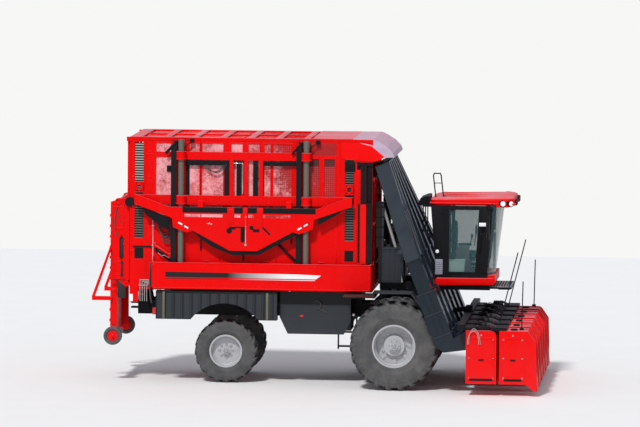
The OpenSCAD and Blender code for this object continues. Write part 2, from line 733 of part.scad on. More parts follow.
module masts() {
    both() for (s = [-1, 1]) {
        x = packer_x + s * mast_dx;
        color("dimgray") translate([x, mast_y, 1925 + seat_gap]) cylinder(r = mast_r, h = 4870 - 1925 - seat_gap);
        color(dark) {
            box(x - 60, x + 60, chamber_half_w, mast_y, 4740, chamber_top_z - 65 - seat_gap);
            box(x - 205, x - 96, beam_y1 + 10, mast_y - 5, 1925 + seat_gap, 4700);
            box(x - 205, x - 96, chamber_half_w, mast_y - 5, 4700, 4760);
            box(x - 205, x - 60, beam_y1 + 10, mast_y - 5, 4740, 4760);
        }
    }
    // Guide columns of the front corner, the slats' lower hatches and the pivot disc at the rear
    color(dark) both() {
        box(880, 990, chamber_half_w + seat_gap, chamber_half_w + 70, 2430, 4420);
        box(1005, 1108, chamber_half_w + seat_gap, chamber_half_w + 55, 2430, 3640);
        box(800, 1112, chamber_half_w + seat_gap, chamber_half_w + 30, 4380, 4450);
        for (x = slot_x) {
            half = slot_w / 2 - seat_gap;
            hatch_z = floor_top + 500;
            box(x - half, x + half, chamber_half_w - 2, chamber_half_w + 4, hatch_z + seat_gap, hatch_z + 220 - seat_gap);
            for (z = [20:50:170]) box(x - half, x + half, chamber_half_w + 3, chamber_half_w + 10, hatch_z + z, hatch_z + 22 + z);
        }
        rod_y(chamber_rear_x, 3600, 100, chamber_half_w + 9 + seat_gap, chamber_half_w + 30);
    }
}

// Packer

module packer_side() {
    r0 = mast_r + 5;
    difference() {
        union() {
            // Upper and main beams, and the posts between them
            box(packer_x - 1350, packer_x + 1350, beam_y0, beam_y1, 4465, 4622);
            box(packer_x - beam_dx - 60, packer_x + beam_dx + 60, beam_y0, beam_y1, packer_mid_z - 95, packer_mid_z + 95);
            for (x = [-250, 40, 340]) box(packer_x + x - 40, packer_x + x + 40, beam_y0, beam_y1, packer_mid_z, 4600);
            // Collars on the guide tubes
            for (s = [-1, 1], z = [4465, packer_mid_z - 75]) {
                translate([packer_x + s * mast_dx, mast_y, z]) cylinder(r = mast_r + 38, h = 170);
                box(packer_x + s * mast_dx - 50, packer_x + s * mast_dx + 50, beam_y1 - 5, mast_y - 50, z, z + 170);
            }
            // Truss plate outside the guide tubes
            translate([packer_x, 0, 0]) side(plate_y0, plate_y1) polygon([[-2170, 3780], [-2170, 3580], [-1420, 3310],
                [-1390, 3120], [-1120, 3020], [-1000, 3060], [-260, 2670], [280, 2670], [1000, 3060], [1120, 3020],
                [1390, 3120], [1420, 3310], [2170, 3580], [2170, 3780], [1480, 3530], [-1480, 3530]]);
            // Stiff rib along the plate's top edge
            box(packer_x - 1450, packer_x + 1450, plate_y0 - 25, plate_y1, 3500, 3530);
            for (x = [-2140, -900, 860, 2040]) box(packer_x + x, packer_x + x + 100, beam_y1 - 5, plate_y0 + 5,
                packer_mid_z - 85, packer_mid_z - 20);
            for (x = [-900, 860]) box(packer_x + x, packer_x + x + 100, plate_y0, plate_y1, 3500, packer_mid_z);
        }
        for (s = [-1, 1]) translate([packer_x + s * mast_dx, mast_y, 2500]) cylinder(r = r0, h = 2300);
    }
}

module packer_frame() {
    color(red) {
        both() packer_side();
        for (s = [-1, 1]) box(packer_x + s * beam_dx - 50, packer_x + s * beam_dx + 50, -beam_y0 - 5, beam_y0 + 5,
            packer_mid_z - 60, packer_mid_z + 60);
    }
}

module slat_bands() {
    w = slot_w - 20;
    color(dark) both() for (s = [-1, 1], z = [[2770, packer_mid_z - 60 - seat_gap], [packer_mid_z + 60 + seat_gap, 4780]]) {
        x = packer_x + s * beam_dx;
        box(x - w / 2, x + w / 2, chamber_half_w - 26, chamber_half_w - 18, z[0], z[1]);
        for (r = [z[0] + 20:70:z[1] - 45]) box(x - w / 2, x + w / 2, chamber_half_w - 19, chamber_half_w - 8, r, r + 32);
    }
}

// Rear

module upper_gate() {
    color(red) {
        difference() {
            box(gate_x, gate_x + 50, 5 - gate_y, gate_y - 5, ramp_z + 80, upper_z);
            step = (gate_y - 60) / 2;
            for (i = [-2:1]) box(gate_x - 10, gate_x + 60, i * step, (i + 1) * step - 20, ramp_z + 160, upper_z - 150);
        }
        rod_y(gate_x + 25, upper_z, 28, -gate_y - 45, gate_y + 45);
    }
}

module rear_gate() {
    color(red) {
        box(gate_x, gate_x + 50, -gate_y - 50, gate_y + 50, gate_z + 70, ramp_z + 70);
        for (i = [-2.5:2.5]) box(gate_x - 28, gate_x + 4, i * 0.36 * gate_y - 25, i * 0.36 * gate_y + 25, gate_z + 120, ramp_z + 30);
        both() difference() {
            side(gate_y, gate_y + 40) polygon([[gate_x + 20, gate_z - 28], [gate_x + 20, ramp_z + 100], [ramp_x + 60, ramp_z + 60],
                [ramp_x - 150, ramp_z - 10], [ramp_x - 150, ramp_z - 880], [ramp_x - 60, ramp_z - 1180],
                [ramp_x - 60, gate_z + 110], [gate_x - 50, gate_z - 28]]);
            side(gate_y - 10, gate_y + 50) polygon([[gate_x - 150, 2480], [gate_x - 110, 2420], [gate_x - 60, 2480], [gate_x - 60, 2860],
                [gate_x - 110, 2930], [gate_x - 150, 2860]]);
        }
        rod_y(gate_x, gate_z, 30, -gate_y - 10, gate_y + 10);
        rod_y(ramp_x, ramp_z, 35, -gate_y - 10, gate_y + 10);
    }
}

module ramp() {
    deck_x = ramp_x - 160;
    color(red) difference() {
        union() {
            box(deck_x, deck_x + 20, -ramp_y, ramp_y, ramp_z - ramp_len, ramp_z - 60);
            both() box(deck_x, ramp_x - 20, ramp_y - 40, ramp_y, ramp_z - ramp_len - 40, ramp_z - 40);
            both() rod_y(ramp_x, ramp_z, 60, ramp_y - 40, ramp_y);
            both() box(ramp_x - 60, ramp_x + 40, ramp_y - 40, ramp_y, ramp_z - 100, ramp_z);
            both() rod_y(ramp_x - 90, ramp_z - ramp_len, 24, ramp_y - 10, ramp_y + 210);
            // Side guides that stand out behind the folded ramp
            both() side(ramp_y - 5, ramp_y + 45) polygon([[ramp_x - 20, ramp_z - 500], [ramp_x - 20, ramp_z - 620],
                [guide_x + 60, 1690], [ramp_x - 120, 1690], [ramp_x - 120, 1610], [guide_x, 1610], [guide_x, 1690]]);
            // Slats on the folded deck
            for (z = [ramp_z - ramp_len + 60:210:ramp_z - 160]) box(deck_x - 22, deck_x + 4, 40 - ramp_y, ramp_y - 40, z, z + 50);
        }
        rod_y(ramp_x, ramp_z, 36, -1200, 1200);
    }
}

module ramp_wheels() {
    color(dark) both() difference() {
        rod_y(ramp_x - 90, ramp_z - ramp_len, ramp_wheel_r, ramp_y + 60, ramp_y + 180);
        rod_y(ramp_x - 90, ramp_z - ramp_len, 25, ramp_y + 10, ramp_y + 260);
    }
}

// Cab

module cab_floor() {
    color(red) {
        // Its rear face slopes to clear the sleeves when the header is up
        side(-cab_half_w, cab_half_w) polygon([[cab_rear_x + 60, cab_beam_z1 + seat_gap], [3545, cab_beam_z1 + seat_gap],
            [3545, cab_floor_z], [cab_rear_x, cab_floor_z], [cab_rear_x, cab_floor_z - 30]]);
    }
}

door_x = cab_rear_x + 128;
door_y = cab_half_w + 12;
door_hinge_z = [cab_floor_z + 240, roof_z - 240];

// Outline of the cab's side, drawn in by the given widths at the rear, bottom, front and top
module cab_outline(rear, bottom, front, top) {
    polygon([[cab_rear_x + rear, cab_floor_z + bottom], [cab_front_low_x - front, cab_floor_z + bottom],
        [cab_front_top_x - front, roof_z - top], [cab_rear_x + rear, roof_z - top]]);
}

module cab_side_outline() {
    difference() {
        cab_outline(0, 0, 0, 0);
        cab_outline(180, 60, 120, 60);
    }
}

module cab_frame() {
    color("dimgray") {
        difference() {
            both() side(cab_half_w - 50, cab_half_w) cab_side_outline();
            // Doorway on the left
            side(cab_half_w - 60, cab_half_w + 10) cab_outline(120, 30, 100, 40);
        }
        // Hinge pins of the door
        for (z = door_hinge_z) {
            translate([door_x, door_y, z - 75]) cylinder(r = 5, h = 150);
            for (s = [-75, 45]) {
                translate([door_x, door_y, z + s]) cylinder(r = 9, h = 30);
                box(door_x - 35, door_x - 8, cab_half_w - 4, door_y + 5, z + s, z + s + 30);
                box(door_x - 13, door_x, door_y - 9, door_y + 5, z + s, z + s + 30);
            }
        }
        // Mirrors
        both() {
            box(3400, 3435, cab_half_w - 10, 1260, 3380, 3405);
            box(3398, 3437, 1180, 1340, 2960, 3400);
        }
        // Canopy behind the roof
        box(2150, cab_rear_x + 20, -420, 420, roof_z - 40, roof_z);
        side(-420, 420) polygon([[1970, roof_z - 40], [2200, roof_z - 40], [2200, roof_z + 150], [2130, roof_z + 150],
            [2010, roof_z + 100], [1970, roof_z + 20]]);
        difference() {
            box(cab_rear_x, cab_rear_x + 50, 50 - cab_half_w, cab_half_w - 50, cab_floor_z, roof_z);
            box(cab_rear_x - 10, cab_rear_x + 60, -700, 700, cab_floor_z + 700, roof_z - 80);
        }
    }
}

module cab_roof() {
    color(red) hull() {
        translate([2220, -840, roof_z + seat_gap]) cube([1720, 1680, 130]);
        translate([2320, -740, roof_z + 100]) cube([1560, 1480, 90]);
    }
    // Hand hoop behind the roof
    color("silver") {
        for (y = [-640, -300]) bar_xz([2300, roof_z + 80], 97, 14, 0, 480, y);
        rod_y(2300 - 480 * sin(7), roof_z + 80 + 480 * cos(7), 14, -654, -286);
    }
}

module roof_lamps() {
    color("white") both() for (y = [350, 640]) translate([3960, y, roof_z + 65]) rotate([0, -90, 0]) cylinder(r = 48, h = 20 - seat_gap);
}

module cab_glass() {
    color("cadetblue") {
        // Right-hand side pane
        side(-cab_half_w + 20, -cab_half_w + 26) cab_outline(180, 60, 120, 60);
        box(cab_rear_x + 20, cab_rear_x + 26, -700, 700, cab_floor_z + 700, roof_z - 80);
        // Windscreen
        difference() {
            hull() {
                windscreen_slice(0, cab_floor_z + seat_gap);
                windscreen_slice(cab_front_top_x - cab_front_low_x, roof_z - 1);
            }
            hull() {
                windscreen_inner(0, cab_floor_z - 5);
                windscreen_inner(cab_front_top_x - cab_front_low_x, roof_z + 5);
            }
        }
    }
}

module windscreen_slice(dx, z) {
    translate([cab_front_low_x + 0.4 + dx, 0, z]) linear_extrude(1) intersection() {
        scale([0.22, 1]) circle(r = cab_half_w - 1, $fn = 32);
        translate([0, -900]) square([900, 1800]);
    }
}

module windscreen_inner(dx, z) {
    translate([cab_front_low_x - 9.6 + dx, 0, z]) linear_extrude(1) intersection() {
        scale([0.22, 1]) circle(r = cab_half_w - 12, $fn = 32);
        translate([0, -900]) square([900, 1800]);
    }
}

module cab_seat() {
    color("darkslategray") {
        box(2700, 3150, -250, 250, cab_floor_z + 250, cab_floor_z + 420);
        box(2620, 2740, -240, 240, cab_floor_z + 380, cab_floor_z + 1050);
        box(2780, 3060, -180, 180, cab_floor_z, cab_floor_z + 250);
        box(3230, 3310, -60, 60, cab_floor_z, cab_floor_z + 700);
        translate([3260, 0, cab_floor_z + 720]) rotate([0, -60, 0]) difference() {
            cylinder(r = 190, h = 30, center = true);
            for (a = [0, 120, 240]) rotate([0, 0, a]) translate([95, 0, 0]) cylinder(r = 62, h = 40, center = true);
        }
        // Armrest console
        box(2720, 3080, -420, -290, cab_floor_z, cab_floor_z + 620);
    }
}

module walkway() {
    color(dark) {
        box(2560, 3440, 800 + seat_gap, 1500, 2000, 2040);
        // Front step between the cab beams
        box(3380, 3870, seat_gap - 700, 700 - seat_gap, 1925, 1960);
        // Handrail at the walkway's front end
        for (y = [960, 1470]) translate([3424, y, 2030]) cylinder(r = 14, h = 870);
        for (z = [2460, 2890]) rod_y(3424, z, 12, 950, 1480);
    }
}

module cab_door() {
    color("dimgray") difference() {
        union() {
            side(cab_half_w - 45, cab_half_w - 5) difference() {
                cab_outline(128, 38, 109, 48);
                cab_outline(200, 110, 180, 115);
            }
            for (z = door_hinge_z) {
                translate([door_x, door_y, z - 40]) cylinder(r = 9, h = 80);
                box(door_x + 4, door_x + 70, cab_half_w - 6, door_y - 1, z - 40, z + 40);
            }
        }
        translate([door_x, door_y, cab_floor_z]) cylinder(r = 6, h = 1500);
    }
}

module cab_door_glass() {
    color("cadetblue") side(cab_half_w - 28, cab_half_w - 22) cab_outline(200, 110, 180, 115);
}

chassis_frame();
cab_beams();
drop_frame();
front_axle();
rear_axle();
engine();
cooling_box();
side_tanks();
body_panels();
ducts();
cab_floor();
cab_frame();
cab_roof();
roof_lamps();
cab_glass();
cab_seat();
walkway();
cab_door();
cab_door_glass();
front_rims();  // front_rims_right
front_tyres();  // front_tyres_right
mirror([0, 1, 0]) front_rims();  // front_rims_left
mirror([0, 1, 0]) front_tyres();  // front_tyres_left
knuckle();  // knuckle_right
mirror([0, 1, 0]) knuckle();  // knuckle_left
rear_rim();  // rear_rim_right
rear_tyre();  // rear_tyre_right
mirror([0, 1, 0]) rear_rim();  // rear_rim_left
mirror([0, 1, 0]) rear_tyre();  // rear_tyre_left
chamber_floor();
chamber_sides();
chamber_ends();
chamber_roof();
screens();
hood();
skirts();
masts();
packer_frame();
slat_bands();
upper_gate();
rear_gate();
ramp();
ramp_wheels();
tilt_barrels();
tilt_rods();
lift_arms();
upper_link();
lift_barrels();
lift_rods();
toolbar();
cabinets();
pressure_sides();
snouts();
drums();
duct_sleeves();
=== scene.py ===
"""Looks of a six-row cotton picker with an on-board module builder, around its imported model."""

import json
import math
from itertools import product

import bmesh
import bpy
from mathutils import Matrix, Vector


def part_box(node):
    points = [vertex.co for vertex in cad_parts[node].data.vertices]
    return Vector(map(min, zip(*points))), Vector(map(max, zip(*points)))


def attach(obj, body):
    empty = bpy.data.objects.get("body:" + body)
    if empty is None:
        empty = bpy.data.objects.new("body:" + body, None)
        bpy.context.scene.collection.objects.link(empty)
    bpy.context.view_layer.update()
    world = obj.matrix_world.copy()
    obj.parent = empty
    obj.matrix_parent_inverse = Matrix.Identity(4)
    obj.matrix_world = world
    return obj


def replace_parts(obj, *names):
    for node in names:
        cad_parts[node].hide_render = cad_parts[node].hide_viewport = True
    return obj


bl_info = {
    "name": "Cotton picker",
    "version": (1, 0, 0),
    "blender": (4, 5, 0),
    "location": "3D View > Sidebar > Picker",
    "description": "Finishes and detail pieces of a six-row cotton picker",
    "category": "Object",
}

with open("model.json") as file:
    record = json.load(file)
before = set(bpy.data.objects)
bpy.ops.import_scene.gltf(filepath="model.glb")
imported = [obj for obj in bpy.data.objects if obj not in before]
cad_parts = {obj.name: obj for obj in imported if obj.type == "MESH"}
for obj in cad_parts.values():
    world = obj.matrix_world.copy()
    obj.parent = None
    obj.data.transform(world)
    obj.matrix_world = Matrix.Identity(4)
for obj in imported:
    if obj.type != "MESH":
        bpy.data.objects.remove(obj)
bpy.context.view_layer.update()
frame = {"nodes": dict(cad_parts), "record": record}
NODES = frame["nodes"]

SIDES = ((-1, "right"), (1, "left"))
BEVEL_ANGLE, SMOOTH_ANGLE = math.radians(35), math.radians(38)
CUSHION_PRESSURE, CUSHION_FRAMES, SEAM_WIDTH = 4.0, 20, 0.010

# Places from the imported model, in metres. Those that end in Y are distances to either side
FRONT_AXLE = Vector((1.625, 0.0, 0.8815))
REAR_AXLE = Vector((-1.805, 0.0, 0.6325))
ROWS = (-2.5, -1.5, -0.5, 0.5, 1.5, 2.5)
ROW_PITCH = 0.965  # of the picking units, and of the ducts' feet
TOP_PITCH = 0.4  # of the ducts' mouths
UNIT_RIGHT, UNIT_LEFT, UNIT_TOP = 0.4225, 0.2275, 1.285  # of a picking unit, from its row's middle and the ground
DRUM_SIDE = 0.2425  # from the row's middle to its drums
WALL_Y, SKIRT_Y, RAIL_Y = 1.22, 1.485, 0.50
BEAM_Y, PLATE_Y, MAST_Y = 1.285, 1.45, 1.35
MAST_X, MAST_R = (-2.70, -0.20), 0.063
SLOT_X = (-3.55, 0.65)
ROOF_X = 3.08  # the middle of the cab's roof
DUCT_FOOT = Vector((2.67, 0.0, 1.0))
DUCT_LEAN = math.radians(22.0)
SLEEVE_HALF, SLEEVE_FACE = 0.187, 0.186
# The middle and the width of each window, and the two rows' lower and upper edges
WINDOWS = ((-3.065, 0.33), (-2.447, 0.226), (-2.084, 0.448), (-1.6, 0.25), (-1.26, 0.25), (-0.99, 0.15),
           (-0.69, 0.39), (-0.06, 0.23), (0.25, 0.24))
WINDOW_Z = ((3.33, 4.52), (4.595, 4.80))


# Finishes


def between(operation):
    """The method that puts this maths node between a socket and another value."""
    return lambda self, other: self.maths(operation, self, other)


class Wire:
    """A node socket that takes part in Python expressions."""

    def __init__(self, tree, socket):
        self.tree, self.socket = tree, socket

    def maths(self, operation, *values):
        return self.tree.node("ShaderNodeMath", {"operation": operation}, *values)

    __add__ = __radd__ = between("ADD")
    __sub__ = between("SUBTRACT")
    __mul__ = __rmul__ = between("MULTIPLY")
    __truediv__ = between("DIVIDE")
    __mod__ = between("FLOORED_MODULO")
    __lt__ = between("LESS_THAN")
    __gt__ = between("GREATER_THAN")

    def __rsub__(self, other):
        return self.maths("SUBTRACT", other, self)

    def __abs__(self):
        return self.maths("ABSOLUTE", self)

    def clamp(self):
        return self.maths("MINIMUM", self.maths("MAXIMUM", self, 0.0), 1.0)


class Finish:
    """One procedural material and its node tree."""

    def __init__(self, name):
        self.material = bpy.data.materials.new(name)
        self.material.use_nodes = True
        self.tree = self.material.node_tree
        self.tree.nodes.clear()
        self.output = self.tree.nodes.new("ShaderNodeOutputMaterial")

    def node(self, kind, settings, *values, out=0, **named):
        """Adds one node with its settings, then its sockets' values or links."""
        made = self.tree.nodes.new(kind)
        for key, value in settings.items():
            setattr(made, key, value)
        pairs = list(enumerate(values)) + [(k.replace("_", " "), v) for k, v in named.items()]
        for key, value in pairs:
            self.feed(made.inputs[key], value)
        return Wire(self, made.outputs[out])

    def feed(self, socket, value):
        if isinstance(value, Wire):
            self.tree.links.new(value.socket, socket)
        elif isinstance(value, tuple) and len(value) == 3 and socket.type == "RGBA":
            socket.default_value = value + (1.0,)
        else:
            socket.default_value = value

    def place(self):
        return self.node("ShaderNodeTexCoord", {}, out="Object")

    def axis(self, index):
        return self.node("ShaderNodeSeparateXYZ", {}, self.place(), out=index)

    def facing_up(self):
        normal = self.node("ShaderNodeNewGeometry", {}, out="Normal")
        return self.node("ShaderNodeSeparateXYZ", {}, normal, out=2)

    def noise(self, scale, detail=3.0, rough=0.55, stretch=None):
        vector = self.place()
        if stretch:
            vector = self.node("ShaderNodeVectorMath", {"operation": "MULTIPLY"}, vector, stretch)
        return self.node("ShaderNodeTexNoise", {}, Vector=vector, Scale=scale, Detail=detail, Roughness=rough,
                         out="Fac")

    def band(self, value, low, high):
        """Goes from 0 at low to 1 at high."""
        return ((value - low) * (1.0 / (high - low))).clamp()

    def mix(self, factor, first, second):
        made = self.tree.nodes.new("ShaderNodeMix")
        made.data_type = "RGBA"
        for index, value in ((0, factor), (6, first), (7, second)):
            self.feed(made.inputs[index], value)
        return Wire(self, made.outputs[2])

    def bump(self, height, strength, distance):
        return self.node("ShaderNodeBump", {}, Strength=strength, Distance=distance, Height=height)

    def shade(self, colour, rough, metallic=0.0, coat=0.0, normal=None, **fixed):
        made = self.tree.nodes.new("ShaderNodeBsdfPrincipled")
        values = {"Base Color": colour, "Roughness": rough, "Metallic": metallic, "Coat Weight": coat}
        if normal is not None:
            values["Normal"] = normal
        values.update({k.replace("_", " "): v for k, v in fixed.items()})
        for key, value in values.items():
            self.feed(made.inputs[key], value)
        self.tree.links.new(made.outputs[0], self.output.inputs[0])
        return self.material


def scaled(colour, factor, lift=0.0):
    """A colour made darker or lighter."""
    return tuple(min(1.0, c * factor + lift) for c in colour)


def dusty_paint(name, colour, rough, dust, dust_colour, top, coat, low, gloss, paint=None):
    """Paint under field dust that lies thicker on faces that look up and towards the ground."""
    f = Finish(name)
    cloud = f.noise(1.7, 4.0)
    fine = f.noise(38.0, 5.0, 0.7)
    streak = f.noise(5.0, 3.0, 0.6, (1.0, 1.0, 0.12))
    lying = f.band(f.facing_up(), 0.45, 0.95) * top
    ground = f.band(1.5 - f.axis(2), 0.0, 1.3) * low
    cover = ((cloud - 0.35) * dust * 1.6 + (streak - 0.45) * dust * 0.9 + lying * cloud * 1.6 + ground * cloud
             + (fine - 0.5) * 0.06).clamp()
    tint = paint(f) if paint else f.mix(cloud, colour, scaled(colour, 0.85))
    base = f.mix(cover, tint, dust_colour)
    return f.shade(base, (cover * 0.45 + rough).clamp(), 0.0, (1.0 - cover * 2.0).clamp() * coat,
                   f.bump(fine, 0.12, 0.002), Coat_Roughness=0.12, Specular_IOR_Level=gloss)


def mast_colours(red, dark, olive):
    """Olive tubes, dark channels, and the lower part of the front corner's outer column in the body's red."""
    def paint(f):
        x, z = f.axis(0), f.axis(2)
        tube = ((abs(x - MAST_X[0]) < MAST_R) + (abs(x - MAST_X[1]) < MAST_R)).clamp()
        column = (abs(x - 0.935) < 0.058) * (z < 3.62)
        return f.mix(column, f.mix(tube, dark, olive), red)
    return paint


def tank_colours_and_painted_shade(f):
    """Grey ribs on the side tanks with painted shade in the grooves between them, and painted shade under the skirts
    over the belly panels and tanks.
    """
    x, y, z = f.axis(0), f.axis(1), f.axis(2)
    # Painted shade: the grooves between the ribs are black
    groove = ((x + 3.160) / 0.18 % 1.0 > 0.86) * (x < -0.75) * (abs(y) > 1.40)
    # Painted shade under the skirts: black over the upper part of the belly panels and tanks
    shade = (x > -0.75) * (z > 1.60) * (z < 1.90) * (x < 1.3)
    return f.mix((groove + shade + (z > 1.81) * (x < 1.3)).clamp(), (0.024, 0.028, 0.034), (0.003, 0.003, 0.004))


def hood_colours_and_painted_highlight(red):
    """Red cheeks below a rounded line, and in front of it pale lilac that is partly dust and partly a painted highlight
    on the rounded nose.
    """
    def paint(f):
        x, z = f.axis(0), f.axis(2)
        # Pale lilac front and top: dust with a painted highlight
        front = ((x * 0.2536 + z > 5.052) * (x > 0.72) + (x * 0.8415 + z > 5.694) + (x > 1.34)).clamp()
        cloud = f.noise(6.0, 4.0)
        return f.mix(front, red, f.mix(cloud, (0.36, 0.24, 0.34), (0.60, 0.50, 0.60)))
    return paint


def rung_colours(f):
    """Pale rungs on the rear upper bands, darker ones on the rest."""
    return f.mix((f.axis(0) < -3.0) * (f.axis(2) > 3.7), (0.075, 0.08, 0.07), (0.33, 0.34, 0.30))


def worn_metal(name, colour, rough, metallic, dust, dust_colour=(0.42, 0.36, 0.32)):
    f = Finish(name)
    cloud = f.noise(3.1, 4.0)
    fine = f.noise(55.0, 4.0, 0.65)
    cover = ((cloud - 0.38) * dust * 1.8 + f.band(f.facing_up(), 0.4, 0.95) * dust * cloud
             + (fine - 0.5) * 0.15).clamp()
    base = f.mix(cover, f.mix(fine, colour, scaled(colour, 0.7)), dust_colour)
    return f.shade(base, (cover * 0.35 + rough).clamp(), (1.0 - cover).clamp() * metallic, 0.0,
                   f.bump(fine, 0.2, 0.002))


def dusty_rubber(name, colour, dust):
    f = Finish(name)
    cloud = f.noise(4.0, 5.0, 0.6)
    fine = f.noise(90.0, 4.0, 0.7)
    cover = ((cloud - 0.30) * dust * 1.7 + (fine - 0.5) * 0.25).clamp()
    base = f.mix(cover, colour, (0.22, 0.20, 0.185))
    return f.shade(base, (cover * 0.2 + 0.72).clamp(), 0.0, 0.0, f.bump(fine, 0.25, 0.002))


def tinted_glass(name, colour, alpha):
    f = Finish(name)
    smear = f.noise(6.0, 4.0, 0.6, (1.0, 1.0, 0.35))
    rough = (smear - 0.35).clamp() * 0.25 + 0.04
    return f.shade(f.mix(smear, colour, scaled(colour, 0.8, 0.05)), rough, Alpha=alpha, IOR=1.45)


def lint_screen(name):
    """Woven wire screen with cotton lint caught in it."""
    f = Finish(name)
    x, z = f.axis(0), f.axis(2)
    per_metre, thick = 24.0, 0.3
    wire = (((x * per_metre) % 1.0 < thick) + ((z * per_metre) % 1.0 < thick)).clamp()
    clump = f.noise(1.9, 5.0, 0.62)
    puff = f.noise(22.0, 6.0, 0.75)
    rear = f.band(-0.1 - x, 0.0, 1.4) * 0.24 - 0.10
    lint = f.band(clump * 0.75 + puff * 0.5 + rear, 0.60, 0.80)
    speck = f.band(f.noise(70.0, 3.0, 0.8), 0.56, 0.66)
    dark = f.mix(wire, (0.20, 0.012, 0.016), (0.60, 0.02, 0.02))
    pale = f.mix(speck, (0.80, 0.30, 0.32), (0.93, 0.80, 0.80))
    shaded = (x > -0.45) * (z > 4.36) * (z < 4.6)
    colour = f.mix(lint, dark, pale)
    return f.shade(f.mix(shaded * 0.8, colour, (0.015, 0.012, 0.012)), 0.9, normal=f.bump(puff, 0.5, 0.01))


def fading_stripe(name):
    """Trim stripe that fades from black at the rear to white at the front."""
    f = Finish(name)
    fade = f.band(f.axis(0), -1.75, -0.55)
    grain = f.noise(60.0, 3.0, 0.6)
    colour = f.mix(fade, (0.010, 0.010, 0.012), (0.80, 0.80, 0.80))
    return f.shade(f.mix(grain * 0.04, colour, (0.45, 0.30, 0.28)), 0.45, normal=f.bump(grain, 0.05, 0.001),
                   Specular_IOR_Level=0.15)


def woven_cloth(name, colour, weave=420.0):
    f = Finish(name)
    x, y, z = f.axis(0), f.axis(1), f.axis(2)
    warp = ((x + y) * weave % 1.0 - 0.5) * 2.0
    weft = ((z + y * 0.37) * weave % 1.0 - 0.5) * 2.0
    height = warp * warp * 0.5 + weft * weft * 0.5
    wear = f.noise(9.0, 4.0, 0.6)
    base = f.mix((height * 0.5 + wear * 0.4).clamp(), colour, scaled(colour, 1.9, 0.02))
    return f.shade(base, 0.9, normal=f.bump(height, 0.4, 0.001), Sheen_Weight=0.3)


def moulded_plastic(name, colour, rough):
    f = Finish(name)
    grain = f.noise(160.0, 3.0, 0.7)
    cloud = f.noise(2.4, 3.0)
    return f.shade(f.mix(cloud, colour, scaled(colour, 1.35, 0.01)), rough, normal=f.bump(grain, 0.18, 0.001))


def make_finishes():
    tones = bpy.context.scene.picker_colours
    red, dark, duct = tuple(tones.body_red), tuple(tones.dark_paint), tuple(tones.duct_grey)
    # The function of each finish and its values, in that function's own order
    recipes = {
        "red_paint": (dusty_paint, red, 0.42, 0.015, (0.62, 0.30, 0.33), 0.75, 0.03, 0.06, 0.08),
        "dark_paint": (dusty_paint, dark, 0.45, 0.05, (0.07, 0.06, 0.07), 0.35, 0.03, 0.15, 0.12),
        "duct_paint": (dusty_paint, duct, 0.30, 0.05, (0.09, 0.12, 0.15), 0.4, 0.15, 0.15, 0.22),
        "tank_plastic": (dusty_paint, (0.020, 0.024, 0.030), 0.40, 0.06, (0.10, 0.105, 0.11), 0.3, 0.0, 0.15, 0.3,
                         tank_colours_and_painted_shade),
        "mast_paint": (dusty_paint, dark, 0.42, 0.05, (0.12, 0.11, 0.10), 0.3, 0.05, 0.1, 0.15,
                       mast_colours(red, dark, (0.13, 0.125, 0.10))),
        "rung_paint": (dusty_paint, dark, 0.5, 0.2, (0.45, 0.44, 0.40), 0.3, 0.0, 0.0, 0.35, rung_colours),
        "hood_paint": (dusty_paint, red, 0.42, 0.02, (0.60, 0.34, 0.38), 0.7, 0.03, 0.0, 0.10, hood_colours_and_painted_highlight(red)),
        # Painted shade: a darker red for the wall under the hood's front
        "deep_red": (dusty_paint, scaled(red, 0.5), 0.5, 0.03, (0.62, 0.30, 0.31), 0.5, 0.3, 0.35, 0.25),
        "rubber": (dusty_rubber, (0.040, 0.042, 0.045), 0.5),
        "hose": (dusty_rubber, (0.022, 0.023, 0.026), 0.3),
        "rim_paint": (worn_metal, (0.52, 0.53, 0.54), 0.42, 0.3, 0.40, (0.36, 0.33, 0.31)),
        "iron": (worn_metal, (0.045, 0.045, 0.05), 0.6, 0.2, 0.5, (0.26, 0.23, 0.21)),
        "rod_steel": (worn_metal, (0.72, 0.72, 0.74), 0.18, 1.0, 0.05),
        "steel": (worn_metal, (0.50, 0.50, 0.52), 0.35, 0.9, 0.3),
        "grey_hose": (worn_metal, (0.42, 0.41, 0.40), 0.5, 0.3, 0.3),
        "glass": (tinted_glass, (0.02, 0.09, 0.10), 0.34),
        "seat_fabric": (woven_cloth, (0.030, 0.075, 0.062)),
        "mesh_screen": (lint_screen,),
        "stripe": (fading_stripe,),
        "lamp": (moulded_plastic, (0.86, 0.87, 0.88), 0.12),
        "white_trim": (moulded_plastic, (0.80, 0.80, 0.79), 0.4),
        "grey_plastic": (moulded_plastic, (0.16, 0.165, 0.18), 0.45),
        "green_plastic": (moulded_plastic, (0.60, 0.92, 0.76), 0.5),
        "tail_red": (moulded_plastic, (0.55, 0.01, 0.012), 0.15),
        "yellow_strap": (moulded_plastic, (0.10, 0.095, 0.05), 0.6),
        "pale_grey": (moulded_plastic, (0.22, 0.22, 0.27), 0.5),
        "slot_black": (moulded_plastic, (0.006, 0.006, 0.007), 0.7),
    }
    return {name: kind(name, *values) for name, (kind, *values) in recipes.items()}


FINISHES = {}


def dress_cad():
    """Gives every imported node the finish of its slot."""
    for row in frame["record"]["subparts"]:
        obj = NODES[row["node"]]
        finish = {"masts": "mast_paint", "hood": "hood_paint"}.get(row["node"], row["material_slot"])
        obj.data.materials.clear()
        obj.data.materials.append(FINISHES[finish])


# Modelling by hand


def deselect():
    if bpy.context.mode != "OBJECT":
        bpy.ops.object.mode_set(mode="OBJECT")
    bpy.ops.object.select_all(action="DESELECT")


def only(obj):
    """Selects this object alone and makes it the active one."""
    deselect()
    obj.select_set(True)
    bpy.context.view_layer.objects.active = obj


def modified(obj, kind, **settings):
    """Applies one modifier to the active object."""
    modifier = obj.modifiers.new(kind, kind)
    for key, value in settings.items():
        setattr(modifier, key, value)
    bpy.ops.object.modifier_apply(modifier=modifier.name)


